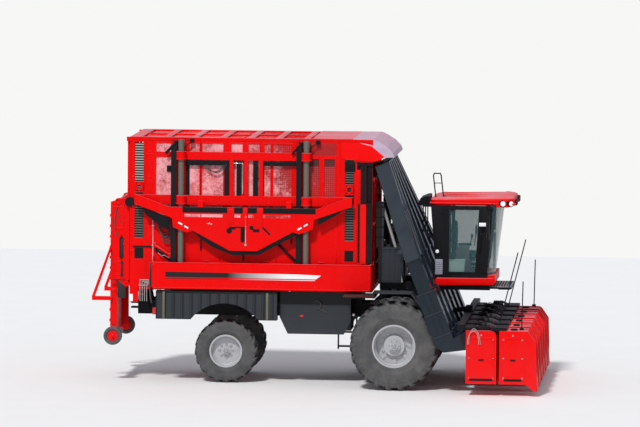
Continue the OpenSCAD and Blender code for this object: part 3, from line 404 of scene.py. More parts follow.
def removed(*objects):
    for obj in objects:
        bpy.data.objects.remove(obj)


def outward():
    """Turns every face outward and leaves edit mode."""
    bpy.ops.mesh.select_all(action="SELECT")
    bpy.ops.mesh.normals_make_consistent(inside=False)
    bpy.ops.object.mode_set(mode="OBJECT")


def block(low, high, turn=None):
    """A box between two corners, turned about its middle if a turn is given."""
    deselect()
    low, high = Vector(low), Vector(high)
    bpy.ops.mesh.primitive_cube_add(size=1.0, location=(0, 0, 0))
    obj = bpy.context.active_object
    obj.data.transform(Matrix.Diagonal((*map(abs, high - low), 1.0)))
    if turn:
        obj.data.transform(turn.to_4x4())
    obj.data.transform(Matrix.Translation((low + high) / 2))
    return obj


def slabs(face, out, back, rows):
    """Blocks on the right-hand face at this distance, one for each row of limits in X and Z."""
    return [block((x0, -face - out, z0), (x1, -face + back, z1)) for x0, x1, z0, z1 in rows]


def bar(start, end, radius, sides=12, end_radius=None):
    """A round bar between two points."""
    deselect()
    start, end = Vector(start), Vector(end)
    line = end - start
    bpy.ops.mesh.primitive_cone_add(vertices=sides, radius1=radius, depth=line.length, location=(0, 0, 0),
                                    radius2=radius if end_radius is None else end_radius)
    obj = bpy.context.active_object
    obj.data.transform(Matrix.Translation((start + end) / 2) @ line.to_track_quat("Z", "Y").to_matrix().to_4x4())
    return obj


def pick(obj, kind, test):
    """Goes to edit mode and selects the faces or edges that pass the test."""
    bpy.ops.object.mode_set(mode="EDIT")
    bpy.ops.mesh.select_mode(type=kind)
    bpy.ops.mesh.select_all(action="DESELECT")
    edit = bmesh.from_edit_mesh(obj.data)
    for item in edit.faces if kind == "FACE" else edit.edges:
        if test(item):
            item.select_set(True)
    bmesh.update_edit_mesh(obj.data)


def hollowed(obj, width):
    """Insets the selected faces and bridges them, which cuts a hole through the piece."""
    bpy.ops.mesh.inset(thickness=width, depth=0.0)
    bpy.ops.mesh.bridge_edge_loops()
    outward()
    return obj


def panel(outline, y0, y1):
    """An outline in X and Z, extruded along Y in edit mode."""
    deselect()
    bpy.ops.mesh.primitive_circle_add(vertices=len(outline), radius=1.0, fill_type="NGON", location=(0, 0, 0))
    obj = bpy.context.active_object
    for vertex, (x, z) in zip(obj.data.vertices, outline):
        vertex.co = (x, y0, z)
    bpy.ops.object.mode_set(mode="EDIT")
    bpy.ops.mesh.select_all(action="SELECT")
    bpy.ops.mesh.extrude_region_move(TRANSFORM_OT_translate={"value": (0, y1 - y0, 0)})
    outward()
    return obj


def frame_panel(outline, width, y0, y1):
    """An outline's rim of the given width, by inset and bridge of its flat face."""
    obj = panel(outline, y0, y1)
    pick(obj, "FACE", lambda face: abs(face.normal.y) > 0.99)
    return hollowed(obj, width)


def frame_box(x0, x1, z0, z1, width, y0, y1):
    """A rectangle's rim, between two distances to the right."""
    return frame_panel([(x0, z0), (x1, z0), (x1, z1), (x0, z1)], width, -y0, -y1)


def ring(centre, outer, inner, depth, axis="Y", sides=48):
    """A flat ring with square edges, by inset and bridge of a cylinder's ends."""
    deselect()
    bpy.ops.mesh.primitive_cylinder_add(vertices=sides, radius=outer, depth=depth, location=(0, 0, 0))
    obj = bpy.context.active_object
    pick(obj, "FACE", lambda face: abs(face.normal.z) > 0.99)
    hollowed(obj, outer - inner)
    if axis != "Z":
        obj.data.transform(Matrix.Rotation(math.pi / 2, 4, "X" if axis == "Y" else "Y"))
    obj.data.transform(Matrix.Translation(Vector(centre)))
    return obj


def bolt(centre, out, radius, height):
    """A six-sided bolt head on its washer."""
    centre, out = Vector(centre), Vector(out)
    washer = bar(centre - out * 0.002, centre + out * 0.003, radius * 1.5, 12)
    return [washer, bar(centre, centre + out * height, radius, 6, radius * 0.92)]


def heads(face, radius, height, spots):
    """Bolt heads on the right-hand face at this distance, one for each spot in X and Z."""
    return [part for x, z in spots for part in bolt((x, -face, z), (0, -1, 0), radius, height)]


def circle(centre, radius, count):
    """Points evenly round an axis along Y."""
    turns = [math.tau * i / count for i in range(count)]
    return [Vector(centre) + Vector((math.cos(a), 0, math.sin(a))) * radius for a in turns]


def copied(obj, matrix):
    """Another of the same piece, with its own mesh."""
    other = obj.copy()
    other.data = obj.data.copy()
    bpy.context.scene.collection.objects.link(other)
    other.data.transform(matrix)
    if matrix.determinant() < 0:
        other.data.flip_normals()
    return other


def mirrored(parts):
    """The parts and their mirror images on the machine's other side."""
    return parts + [copied(p, Matrix.Diagonal((1.0, -1.0, 1.0, 1.0))) for p in parts]


def joined(parts):
    deselect()
    for part in parts:
        part.select_set(True)
    bpy.context.view_layer.objects.active = parts[0]
    if len(parts) > 1:
        bpy.ops.object.join()
    return parts[0]


def finished(name, parts, body, slot, finish=None, edge=0.003, segments=2, smooth=True):
    """Joins the parts to one piece, softens its edges and sets it on its body."""
    obj = joined(parts)
    obj.name = obj.data.name = name
    only(obj)
    if edge:
        modified(obj, "BEVEL", width=edge, segments=segments, limit_method="ANGLE", angle_limit=BEVEL_ANGLE,
                 use_clamp_overlap=True)
    if smooth:
        bpy.ops.object.shade_smooth_by_angle(angle=SMOOTH_ANGLE)
    obj.data.materials.clear()
    obj.data.materials.append(FINISHES[finish or slot])
    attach(obj, body)
    return obj


def hose(points, radius):
    """A bent tube through the points, as a mesh with closed ends."""
    deselect()
    bpy.ops.curve.primitive_nurbs_path_add(location=(0, 0, 0))
    obj = bpy.context.active_object
    curve = obj.data
    curve.splines.clear()
    spline = curve.splines.new("NURBS")
    spline.points.add(len(points) - 1)
    for place, point in zip(spline.points, points):
        place.co = (*point, 1.0)
    spline.order_u = min(4, len(points))
    spline.use_endpoint_u = True
    spline.resolution_u = 6
    curve.bevel_depth, curve.bevel_resolution, curve.use_fill_caps = radius, 3, True
    only(obj)
    bpy.ops.object.convert(target="MESH")
    return bpy.context.active_object


def pipe(points, radius, sides=10):
    """Straight bars between the points, with a ball of the same size at each bend."""
    parts = [bar(a, b, radius, sides) for a, b in zip(points, points[1:])]
    for point in points[1:-1]:
        deselect()
        bpy.ops.mesh.primitive_uv_sphere_add(segments=sides, ring_count=6, radius=radius * 1.002,
                                             location=(0, 0, 0))
        parts.append(bpy.context.active_object)
        parts[-1].data.transform(Matrix.Translation(Vector(point)))
    return parts


def duct_point(across, along):
    """A point in X and Z beside the ducts' line."""
    return (DUCT_FOOT.x + across * math.cos(DUCT_LEAN) - along * math.sin(DUCT_LEAN),
            DUCT_FOOT.z + across * math.sin(DUCT_LEAN) + along * math.cos(DUCT_LEAN))


# Settings that a user would change


class PickerColours(bpy.types.PropertyGroup):
    """Colours of the machine's main paints."""

    body_red: bpy.props.FloatVectorProperty(
        name="Body red", description="Paint of the chamber, cab and picking units", subtype="COLOR", size=3,
        default=(0.82, 0.0, 0.0), min=0.0, max=1.0)
    dark_paint: bpy.props.FloatVectorProperty(
        name="Dark paint", description="Paint of the chassis and the cab's pillars", subtype="COLOR", size=3,
        default=(0.007, 0.007, 0.009), min=0.0, max=1.0)
    duct_grey: bpy.props.FloatVectorProperty(
        name="Duct grey", description="Colour of the air ducts", subtype="COLOR", size=3,
        default=(0.007, 0.013, 0.021), min=0.0, max=1.0)


class PickerSizes(bpy.types.PropertyGroup):
    """Sizes of the details that repeat."""

    bolt_radius: bpy.props.FloatProperty(
        name="Bolt radius", description="Half the width of a bolt's head", subtype="DISTANCE", unit="LENGTH",
        default=0.014, min=0.006, max=0.03)
    hose_radius: bpy.props.FloatProperty(
        name="Hose radius", description="Outer radius of a hydraulic hose", subtype="DISTANCE", unit="LENGTH",
        default=0.014, min=0.006, max=0.03)
    front_lugs: bpy.props.IntProperty(
        name="Front lugs", description="Lugs in each row of a drive tyre", default=22, min=16, max=30)
    rear_lugs: bpy.props.IntProperty(
        name="Rear lugs", description="Lugs in each row of a steering tyre", default=20, min=14, max=28)
    spindles: bpy.props.IntProperty(
        name="Spindles", description="Spindles on each bar of a picking drum", default=12, min=4, max=20)


def sizes():
    return bpy.context.scene.picker_sizes


# Pieces, one operator for each group


class PICKER_OT_finishes(bpy.types.Operator):
    """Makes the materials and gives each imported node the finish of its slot"""

    bl_idname = "picker.finishes"
    bl_label = "Finishes"

    def execute(self, context):
        FINISHES.update(make_finishes())
        dress_cad()
        return {"FINISHED"}


def tyre_half(bead, crown, width):
    """Half of a tyre's section as pairs of radius and place across, from bead to crown."""
    h, lip = crown - bead, 0.41 * width
    raised = [(0.25, 0.482), (0.32, 0.490), (0.34, 0.498), (0.38, 0.500), (0.40, 0.495), (0.55, 0.500),
              (0.65, 0.498), (0.70, 0.494), (0.72, 0.497), (0.75, 0.496), (0.77, 0.488), (0.86, 0.478),
              (0.93, 0.465), (0.97, 0.44), (0.985, 0.34), (0.99, 0.25), (1.0, 0.1)]
    return [(bead + 0.0005, lip - 0.0205), (bead + 0.025, lip - 0.0085), (bead + 0.029, lip)] + [
        (bead + a * h, b * width) for a, b in raised]


def tyre_carcass(bead, crown, width, steps=96):
    """A tyre's body without lugs, spun from its section about the Y axis."""
    half = tyre_half(bead, crown, width)
    section = half + [(r, -y) for r, y in reversed(half)]
    deselect()
    bpy.ops.mesh.primitive_circle_add(vertices=len(section), radius=1.0, fill_type="NOTHING", location=(0, 0, 0))
    obj = bpy.context.active_object
    for vertex, (r, y) in zip(obj.data.vertices, section):
        vertex.co = (r, y, 0.0)
    bpy.ops.object.mode_set(mode="EDIT")
    bpy.ops.mesh.select_all(action="SELECT")
    bpy.ops.mesh.spin(steps=steps, angle=math.tau, center=(0, 0, 0), axis=(0, 1, 0))
    bpy.ops.mesh.select_all(action="SELECT")
    bpy.ops.mesh.remove_doubles(threshold=1e-5)
    outward()
    return obj


def tyre_lug(outer, depth, width, thick):
    """One lug of the outer row: it curves from the crown's middle over the shoulder."""
    stations = [(-0.035, 0.00, 0.0, 0.8), (0.08, 0.14, 0.0, 0.95), (0.19, 0.29, 0.001, 1.0),
                (0.30, 0.46, 0.003, 1.05), (0.39, 0.62, 0.008, 1.12), (0.455, 0.78, 0.026, 1.2),
                (0.486, 0.92, 0.068, 1.1), (0.497, 1.0, 0.12, 0.7)]
    last = len(stations) - 1
    deselect()
    bpy.ops.mesh.primitive_grid_add(x_subdivisions=last, y_subdivisions=1, size=2.0, location=(0, 0, 0))
    obj = bpy.context.active_object
    sweep = 0.30 * width / outer
    for vertex in obj.data.vertices:
        side = 1 if vertex.co.y > 0 else -1
        across, turn, drop, wide = stations[round((vertex.co.x + 1.0) / 2.0 * last)]
        angle = sweep * turn + side * thick * wide / 2 / outer
        radius = outer - drop
        vertex.co = (radius * math.cos(angle), across * width, -radius * math.sin(angle))
    pick(obj, "FACE", lambda face: True)
    bpy.ops.mesh.extrude_region_move(TRANSFORM_OT_translate={"value": (0, 0, 0)})
    edit = bmesh.from_edit_mesh(obj.data)
    for vertex in edit.verts:
        if vertex.select:
            inward = Vector((vertex.co.x, 0, vertex.co.z)).normalized()
            vertex.co -= inward * (depth + 0.02)
            vertex.co.y *= 0.95
    bmesh.update_edit_mesh(obj.data)
    outward()
    modified(obj, "BEVEL", width=0.007, segments=2)
    return obj


def whole_tyre(bead, outer, width, depth, thick, count):
    """Carcass and both rows of lugs about the origin."""
    lug = tyre_lug(outer, depth, width, thick)
    parts = [tyre_carcass(bead, outer - depth, width)]
    for i, row in product(range(count), (0, 1)):
        turn = Matrix.Rotation(math.tau * (i + row / 2) / count, 4, "Y")
        parts.append(copied(lug, turn @ Matrix.Diagonal((1, -1 if row else 1, 1, 1))))
    removed(lug)
    return joined(parts)


class PICKER_OT_tyres(bpy.types.Operator):
    """Models the drive and steering tyres with their curved lugs"""

    bl_idname = "picker.tyres"
    bl_label = "Tyres"

    def execute(self, context):
        front = whole_tyre(0.406, 0.8815, 0.50, 0.045, 0.064, sizes().front_lugs)
        rear = whole_tyre(0.306, 0.6325, 0.38, 0.034, 0.050, sizes().rear_lugs)
        for side, word in SIDES:
            pair = [copied(front, Matrix.Translation(FRONT_AXLE + Vector((0, side * k * ROW_PITCH, 0))))
                    for k in (1, 2)]
            obj = finished(f"drive_tyres_{word}", pair, f"front_wheels_{word}", "rubber", edge=0)
            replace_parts(obj, f"front_tyres_{word}")
            one = copied(rear, Matrix.Translation(REAR_AXLE + Vector((0, side * ROW_PITCH, 0))))
            obj = finished(f"steering_tyre_{word}", [one], f"rear_wheel_{word}", "rubber", edge=0)
            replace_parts(obj, f"rear_tyre_{word}")
        removed(front, rear)
        return {"FINISHED"}


class PICKER_OT_wheel_bolts(bpy.types.Operator):
    """Models the wheel nuts, hub covers and valves"""

    bl_idname = "picker.wheel_bolts"
    bl_label = "Wheel bolts"

    def execute(self, context):
        for side, word in SIDES:
            out = Vector((0, side, 0))
            for name, axle, face, nuts_r, count, small_face, small_r, cover, cover_r, body in (
                    ("front", FRONT_AXLE, 1.878, 0.255, 12, 2.04, 0.1, 2.080, 0.055, "front_wheels"),
                    ("rear", REAR_AXLE, 0.993, 0.135, 8, 1.068, 0.05, 1.070, 0.040, "rear_wheel")):
                parts = []
                for spot in circle(axle + out * face, nuts_r, count):
                    parts += bolt(spot, out, 0.02, 0.024)
                for spot in circle(axle + out * small_face, small_r, 6):
                    parts += bolt(spot, out, 0.012, 0.012)
                hub = axle + out * cover
                parts.append(bar(hub - out * 0.01, hub + out * 0.02, cover_r, 24, cover_r * 0.8))
                valve = axle + Vector((nuts_r + 0.07, side * face, 0.02))
                parts.append(bar(valve, valve + out * 0.05, 0.006, 8))
                finished(f"wheel_bolts_{name}_{word}", parts, f"{body}_{word}", "steel", edge=0.002)
        return {"FINISHED"}


class PICKER_OT_ramp_wheels(bpy.types.Operator):
    """Models the ramp's two small wheels with red hubs"""

    bl_idname = "picker.ramp_wheels"
    bl_label = "Ramp wheels"

    def execute(self, context):
        low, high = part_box("ramp_wheels")
        centre = (low + high) / 2
        tyres, hubs = [], []
        body = tyre_carcass(0.105, (high.z - low.z) / 2, 0.118, 48)
        groove = ring((0, 0, 0), 0.108, 0.0255, 0.07, sides=32)
        for side, _ in SIDES:
            place = Matrix.Translation((centre.x, side * (high.y - 0.06), centre.z))
            tyres.append(copied(body, place))
            hubs.append(copied(groove, place))
            for spot in circle((centre.x, side * (high.y - 0.027), centre.z), 0.07, 5):
                hubs += bolt(spot, (0, side, 0), 0.009, 0.01)
        removed(body, groove)
        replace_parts(finished("ramp_tyres", tyres, "ramp_wheels", "rubber", edge=0), "ramp_wheels")
        finished("ramp_hubs", hubs, "ramp_wheels", "red_paint")
        return {"FINISHED"}


class PICKER_OT_chamber_trim(bpy.types.Operator):
    """Models the window bars, rails, bolts, stripes and pipes of the module chamber"""

    bl_idname = "picker.chamber_trim"
    bl_label = "Chamber trim"

    def execute(self, context):
        bars = [frame_box(x - width / 2 - 0.02, x + width / 2 + 0.02, z0 - 0.02, z1 + 0.02, 0.035, WALL_Y + 0.004,
                          WALL_Y - 0.004) for x, width in WINDOWS for z0, z1 in WINDOW_Z]
        finished("window_bars", mirrored(bars), "chamber", "red_paint", edge=0.002)

        seams = slabs(WALL_Y, 0.007, 0.002, [(x - 0.02, x + 0.02, 2.44, 3.29)
                                             for x in (-3.24, -2.57, -1.93, -1.35, -0.80, -0.2, 0.4)])
        seams += slabs(WALL_Y, 0.006, 0.002, [(-3.42, 0.43, 3.255, 3.29), (-3.42, 0.43, 4.545, 4.57),
                                              (0.80, 1.11, 3.255, 3.29), (0.80, 0.86, 4.545, 4.57)])
        seams += heads(WALL_Y + 0.001, sizes().bolt_radius, 0.009,
                       product((-3.68, -3.35, 0.46), (2.62, 3.1, 3.6, 4.1, 4.6)))
        # Reinforcing cap along the top edge, with its rivets
        seams += slabs(WALL_Y, 0.012, 0.03, [(-3.735, 1.10, 4.872, 4.9045)])
        seams += heads(WALL_Y + 0.012, 0.008, 0.006, [(-3.6 + i * 0.2, 4.888) for i in range(24)])
        finished("wall_ribs", mirrored(seams), "chamber", "red_paint", edge=0.002)

        skirt = slabs(SKIRT_Y, 0.004, 0.01, [(-3.27, 1.112, 1.90, 1.925), (-3.27, 1.112, 2.40, 2.425),
                                             (-3.27, -3.245, 1.90, 2.42), (1.087, 1.112, 1.90, 2.42)])
        skirt += heads(SKIRT_Y, 0.011, 0.008, product((-3.23, -2.2, -1.1, 0.0, 1.07), (1.95, 2.37)))
        finished("skirt_lips", mirrored(skirt), "chamber", "red_paint", edge=0.003)
        stripe = [panel(outline, -SKIRT_Y - 0.002, -SKIRT_Y + 0.002) for outline in (
            [(-2.99, 2.238), (-0.35, 2.222), (0.12, 2.205), (0.02, 2.13), (-2.99, 2.132)],
            [(-2.99, 2.112), (0.0, 2.110), (0.0, 2.098), (-2.99, 2.10)])]
        finished("skirt_stripe", mirrored(stripe), "chamber", "red_paint", "stripe", edge=0)

        dark = []
        # Struts on the lower wall, the masts' top braces and the corners' guides
        for a, b, radius in (((-0.817, 2.843), (-0.378, 2.44), 0.026), ((-3.175, 2.653), (-2.828, 2.40), 0.030),
                             ((-2.818, 4.80), (-3.011, 4.585), 0.030), ((-0.318, 4.80), (-0.49, 4.60), 0.024),
                             ((-2.497, 4.845), (-2.645, 4.704), 0.010), ((0.02, 4.845), (-0.145, 4.704), 0.010)):
            low = a[1] < 4
            y = -1.262 if low else -1.325
            dark.append(bar((a[0], y, a[1]), (b[0], y, b[1]), radius, 8))
            dark += slabs(-y, 0, -y - WALL_Y, [(x - 0.04, x + 0.04, z - 0.04, z + 0.04) for x, z in (a, b)
                                               if low or z > 4.79])
        # The thin slab at X 0.55 to 0.87, z 4.26 to 4.46 is painted shade: a black sheet for the dark opening below the
        # hood
        for out, x0, x1, z0, z1 in (
                (0.016, -3.0, -2.90, 4.215, 4.335), (0.012, 0.82, 0.86, 2.46, 3.62),
                (0.025, -3.673, -3.29, 2.70, 2.728), (0.006, 0.55, 0.87, 4.26, 4.462),
                (0.009, -2.615, -2.545, 3.34, 4.58), (0.009, -0.365, -0.295, 3.34, 4.58)):
            dark += slabs(WALL_Y, out, 0, [(x0, x1, z0, z1)])
        # Latches along the lower edge
        for x, z0, z1 in ((-2.307, 2.637, 2.889), (-1.456, 2.44, 2.63), (-0.50, 2.78, 2.96)):
            dark += slabs(WALL_Y, 0.012, 0, [(x - 0.012, x + 0.012, z0, z1)])
            dark += slabs(WALL_Y, 0.016, 0, [(x - 0.022, x + 0.022, z0 + 0.05, z0 + 0.10)])
        dark += slabs(WALL_Y, 0.003, 0.002, [(0.995, 1.112, 3.64, 4.45)])
        finished("wall_fittings_and_painted_shade", mirrored(dark), "chamber", "dark_paint")

        red = slabs(WALL_Y, 0.08, 0, [(-3.26, -3.20, 2.70, 2.79), (-2.96, -2.90, 2.50, 2.58)])
        red.append(bar((-3.222, -1.285, 2.745), (-2.93, -1.285, 2.545), 0.022, 10))
        red += slabs(WALL_Y, 0.016, 0, [(0.795, 0.875, 3.62, 4.30)]
                     + [(x - 0.05, x + 0.05, 2.43, 2.452) for x in (-2.2, -1.0, 0.1)])
        finished("corner_braces", mirrored(red), "chamber", "red_paint")

        pale = slabs(WALL_Y, 0.024, 0, [(-3.55, -3.36, 1.93, 1.945)])
        for k in range(4):
            x, z = -3.52 + 0.045 * k, 2.045 - 0.028 * k
            pale += pipe([(x, -1.238, 1.62), (x, -1.238, z), (-3.275, -1.238, z)], 0.009, 8)
        finished("rear_corner_pipes", mirrored(pale), "chamber", "steel", "grey_hose", edge=0)
        plate = slabs(WALL_Y, 0.002, 0.007, [(-3.734, -3.668, 1.612, 1.755)])
        finished("corner_plates", mirrored(plate), "chamber", "lamp", "white_trim", edge=0.002)

        rods = pipe([(-3.268, -1.231, 2.44), (-3.268, -1.231, 3.24), (-3.24, -1.231, 3.285), (-3.17, -1.231, 3.27),
                     (-3.15, -1.231, 3.23)], 0.013)
        rods += pipe([(-3.152, -1.3, 2.596), (-3.082, -1.3, 2.529), (-3.036, -1.3, 2.552), (-2.925, -1.3, 2.49)], 0.009)
        rods += slabs(WALL_Y, 0.02, 0, [(-3.29, -3.246, z, z + 0.03) for z in (2.72, 3.12)])
        finished("corner_rods", mirrored(rods), "chamber", "rod_steel", edge=0.002)

        loops = []
        for k in range(4):
            z, x = 3.26 - 0.05 * k, -3.17 + 0.02 * k
            loops.append(hose([(x, -1.25, z), (x + 0.01, -1.27, z - 0.18), (x + 0.09, -1.28, z - 0.31 - 0.02 * k),
                               (x + 0.22, -1.27, z - 0.27), (x + 0.30, -1.255, z - 0.12), (x + 0.33, -1.24, z - 0.02)],
                              sizes().hose_radius))
        finished("arm_hoses", mirrored(loops), "packer", "rubber", "hose", edge=0)
        # The bundle behind the skirt's rear end
        bundle = [hose([(-3.29, y, 2.40), (-3.298 - 0.004 * k, y, 2.2), (-3.305, y, 1.95), (-3.30, y - 0.01, 1.72),
                        (-3.27, y, 1.60)], 0.017) for k, y in enumerate((-1.26, -1.305, -1.35, -1.395))]
        finished("corner_hoses", mirrored(bundle), "chamber", "rubber", "hose", edge=0)

        roof = [block((-3.53 + 0.56 * i, -1.15, 4.88), (-3.5 + 0.56 * i, 1.15, 4.906)) for i in range(8)]
        roof += [block((-3.55, y - 0.012, 4.868), (1.0, y + 0.012, 4.882)) for y in (-0.76, -0.38, 0.38, 0.76)]
        finished("roof_bars", roof, "chamber", "red_paint", edge=0.002)
        wires = [block((-3.48 + 0.99 * k, y - 0.285, 4.856), (-2.52 + 0.99 * k, y + 0.285, 4.864))
                 for k, y in product(range(4), (-0.9, -0.3, 0.3, 0.9))]
        finished("roof_screens", wires, "chamber", "mesh_screen", edge=0)
        # Painted shade under the hood: darker red panels over the front upper windows
        cover = slabs(WALL_Y, 0.005, 0.001, [(-0.165, 0.383, 4.585, 4.832)])
        finished("front_painted_shade_panels", mirrored(cover), "chamber", "red_paint", "deep_red", edge=0.002)
        return {"FINISHED"}


class PICKER_OT_packer_trim(bpy.types.Operator):
    """Models the cylinders, brackets, dashes and bolts of the packer's side frames"""

    bl_idname = "picker.packer_trim"
    bl_label = "Packer trim"

    def execute(self, context):
        dark = slabs(BEAM_Y, -0.004, 0.042, [(x - 0.045, x + 0.045, 3.74, 4.48)
                                             for x in (-1.80, -1.555, -1.225, -0.36)])
        # Painted shadow under the upper beam: dark strips set back behind it
        dark += slabs(BEAM_Y, -0.005, 0.040, [(-2.62, -1.64, 4.355, 4.45), (-1.08, -0.33, 4.36, 4.44)])
        # Painted shade in the gap between the beam and the truss plate: dark strips on the plate
        dark += slabs(PLATE_Y, 0.003, 0.002, [(x0, x1, 3.42, 3.532) for x0, x1 in (
            (-2.66, -1.76), (-1.63, -1.45), (-1.36, -1.17), (-1.05, 0.0))])
        # Keyhole brackets in the middle
        for x, z, radius in ((-1.723, 3.069, 0.055), (-1.277, 3.134, 0.042)):
            dark.append(bar((x, -PLATE_Y - 0.009, z), (x, -PLATE_Y + 0.001, z), radius, 24))
        dark += slabs(PLATE_Y, 0.008, 0.002, [(-1.72, -1.60, 3.10, 3.15), (-1.495, -1.412, 2.845, 3.153),
                                              (-1.60, -1.49, 3.13, 3.155), (-1.25, -1.12, 3.05, 3.11)])
        dark.append(bar((-1.06, -PLATE_Y + 0.019, 3.15), (-0.91, -PLATE_Y + 0.019, 3.00), 0.028, 8))
        # Painted shadows under the arms and below the plate's lower edge: dark panels behind the plate
        dark += [panel([(-3.46, 3.53), (-2.93, 3.30), (-2.93, 3.06), (-3.10, 3.13), (-3.42, 3.39)], -1.42, -1.36),
                 panel([(0.03, 3.33), (0.60, 3.60), (0.60, 3.52), (0.05, 3.20)], -1.42, -1.36),
                 panel([(-2.50, 3.09), (-1.66, 2.70), (-1.15, 2.70), (-0.40, 3.09), (-0.40, 2.99), (-1.13, 2.595),
                        (-1.66, 2.582), (-2.05, 2.73), (-2.30, 2.90)], -1.42, -1.38)]
        finished("packer_channels_and_painted_shade", mirrored(dark), "packer", "dark_paint")

        lint = slabs(PLATE_Y, 0.0025, 0.002, [(x0, x1, 3.335, 3.392) for x0, x1 in (
            (-2.62, -2.30), (-2.28, -1.86), (-1.62, -1.50), (-1.34, -1.24), (-1.05, -1.0), (-0.98, -0.50))])
        finished("plate_screens", mirrored(lint), "packer", "mesh_screen", edge=0)

        plates = []
        for x, z in product(MAST_X, (4.55, 3.66)):
            plates += [ring((x, -MAST_Y, z + dz), 0.098, 0.0605, 0.02, "Z", 32) for dz in (0.07, -0.07)]
            plates += heads(BEAM_Y, 0.012, 0.01, product((x - 0.036, x + 0.036), (z - 0.05, z + 0.05)))
        plates += heads(BEAM_Y, 0.013, 0.01, product((-3.45, -3.1, -1.95, -0.95, 0.2, 0.55), (3.60, 3.72)))
        plates += heads(BEAM_Y, 0.013, 0.01, product((-2.4, -1.9, -1.0, -0.5), (4.54,)))
        # Posts carried down over the truss plate, and the eyes at its ends
        plates += slabs(PLATE_Y, 0.009, 0.002, [(-1.76, -1.63, 3.20, 3.50), (-1.45, -1.36, 3.18, 3.50),
                                                (-1.17, -1.05, 3.14, 3.50)])
        for x in SLOT_X:
            plates += [frame_box(x - 0.085, x + 0.085, 3.80, 4.01, 0.02, 1.262, 1.24),
                       ring((x, -1.251, 3.905), 0.082, 0.046, 0.02, "Y", 24)]
        finished("packer_plates", mirrored(plates), "packer", "red_paint", edge=0.002)

        dashes = [block((x - 0.045, -PLATE_Y - 0.002, z - 0.014), (x + 0.045, -PLATE_Y + 0.002, z + 0.014),
                        Matrix.Rotation(math.radians(turn), 3, "Y"))
                  for x, z, turn in ((-2.70, 3.20, 30), (-2.58, 3.13, 30), (-0.32, 3.13, -30), (-0.20, 3.20, -30))]
        finished("edge_markers", mirrored(dashes), "packer", "lamp", "white_trim", edge=0)

        rods = [bar((-1.395, -1.4505, 2.80), (-1.395, -1.4505, 3.39), 0.009, 12)]
        rods += heads(1.451, 0.016, 0.008, [(-1.395, 2.795)])
        rods += slabs(PLATE_Y, 0.0092, 0, [(-1.41, -1.38, z, z + 0.02) for z in (2.86, 3.34)])
        rods += pipe([(-1.66, -1.292, 4.405), (-1.476, -1.292, 4.405), (-1.476, -1.292, 3.80)], 0.010, 10)
        rods += [bar((-2.171, -PLATE_Y - 0.004, 3.208), (-2.08, -PLATE_Y - 0.004, 3.205), 0.007, 8),
                 bar((-2.08, -PLATE_Y - 0.009, 3.20), (-2.08, -PLATE_Y, 3.20), 0.016, 12)]
        finished("packer_rods", mirrored(rods), "packer", "rod_steel", edge=0.002)

        rungs = []
        for x, (z, high) in product(SLOT_X, ((2.78, 3.58), (3.74, 4.77))):
            while z < high:
                rungs.append(block((x - 0.083, -1.2165, z), (x + 0.083, -1.2115, z + 0.024)))
                z += 0.05
        finished("slat_rungs", mirrored(rungs), "packer", "dark_paint", "rung_paint", edge=0)

        lines = [hose([(x - 0.12, -1.287, 4.38), (x - 0.09, -1.292, 4.29), (x + 0.02, -1.295, 4.22 - 0.02 * k),
                       (x + 0.16, -1.292, 4.24), (x + 0.24, -1.287, 4.31), (x + 0.26, -1.284, 4.38)],
                      sizes().hose_radius * 0.5) for k, x in enumerate((-2.12, -2.09, -2.06))]
        finished("packer_hoses", mirrored(lines), "packer", "rubber", "hose", edge=0)
        return {"FINISHED"}


class PICKER_OT_gate_trim(bpy.types.Operator):
    """Models the bolts, links and cables of the rear gate and the folding ramp"""

    bl_idname = "picker.gate_trim"
    bl_label = "Gate trim"

    def execute(self, context):
        gate = heads(1.14, 0.013, 0.01, product((-3.86,), (2.15, 2.75, 3.2, 3.55)))
        gate += [ring((-3.80, -1.148, 1.95), 0.055, 0.028, 0.016, "Y", 24),
                 ring((-3.98, -1.148, 3.60), 0.065, 0.030, 0.016, "Y", 24),
                 frame_box(-4.04, -3.86, 2.12, 2.40, 0.02, 1.146, 1.138),
                 frame_box(-4.10, -3.86, 3.05, 3.50, 0.02, 1.146, 1.138)]
        finished("gate_fittings", mirrored(gate), "rear_gate", "red_paint", edge=0.002)
        dark = [block((-3.99, -1.099, 2.37), (-3.86, -1.090, 2.90)),
                block((-4.12, -1.150, 2.02), (-3.83, -1.138, 2.045)),
                block((-3.985, -1.135, 1.67), (-3.825, -1.102, 2.03)),
                bar((-3.90, -1.152, 2.10), (-3.90, -1.152, 2.41), 0.020, 12)]
        dark += [block((-3.93, -1.155, z), (-3.87, -1.138, z + 0.04)) for z in (2.11, 2.36)]
        finished("gate_rods", mirrored(dark), "rear_gate", "dark_paint", "slot_black", edge=0.002)
        cable = hose([(-3.99, -1.146, 3.50), (-4.02, -1.152, 3.36), (-4.07, -1.155, 3.20), (-4.03, -1.155, 3.02),
                      (-4.0, -1.150, 2.9)], 0.010)
        chain = hose([(-4.02, -1.150, 3.44), (-3.97, -1.156, 3.28), (-3.93, -1.150, 3.18)], 0.008)
        finished("gate_cables", mirrored([cable, chain]), "rear_gate", "rubber", "hose", edge=0)

        heights = (1.05, 1.8, 2.6, 3.3)
        ramp = [block((-4.135, -1.046, z - 0.04), (-4.02, -1.038, z + 0.04)) for z in heights]
        ramp += heads(1.046, 0.011, 0.008, product((-4.08,), heights))
        ramp += [ring((-4.07, -1.05, 0.91), 0.05, 0.02, 0.02, "Y", 24),
                 bar((-4.46, -1.086, 1.66), (-4.02, -1.086, 3.02), 0.006, 8)]
        ramp += heads(1.085, 0.014, 0.009, product((-4.47, -4.12), (1.65,)))
        finished("ramp_fittings", mirrored(ramp), "ramp", "red_paint", edge=0.002)
        return {"FINISHED"}


def strip(start, end, y0, y1, radius):
    """A thin bar between two places given across and along the ducts."""
    (x0, z0), (x1, z1) = duct_point(*start), duct_point(*end)
    return bar((x0, y0, z0), (x1, y1, z1), radius, 8)


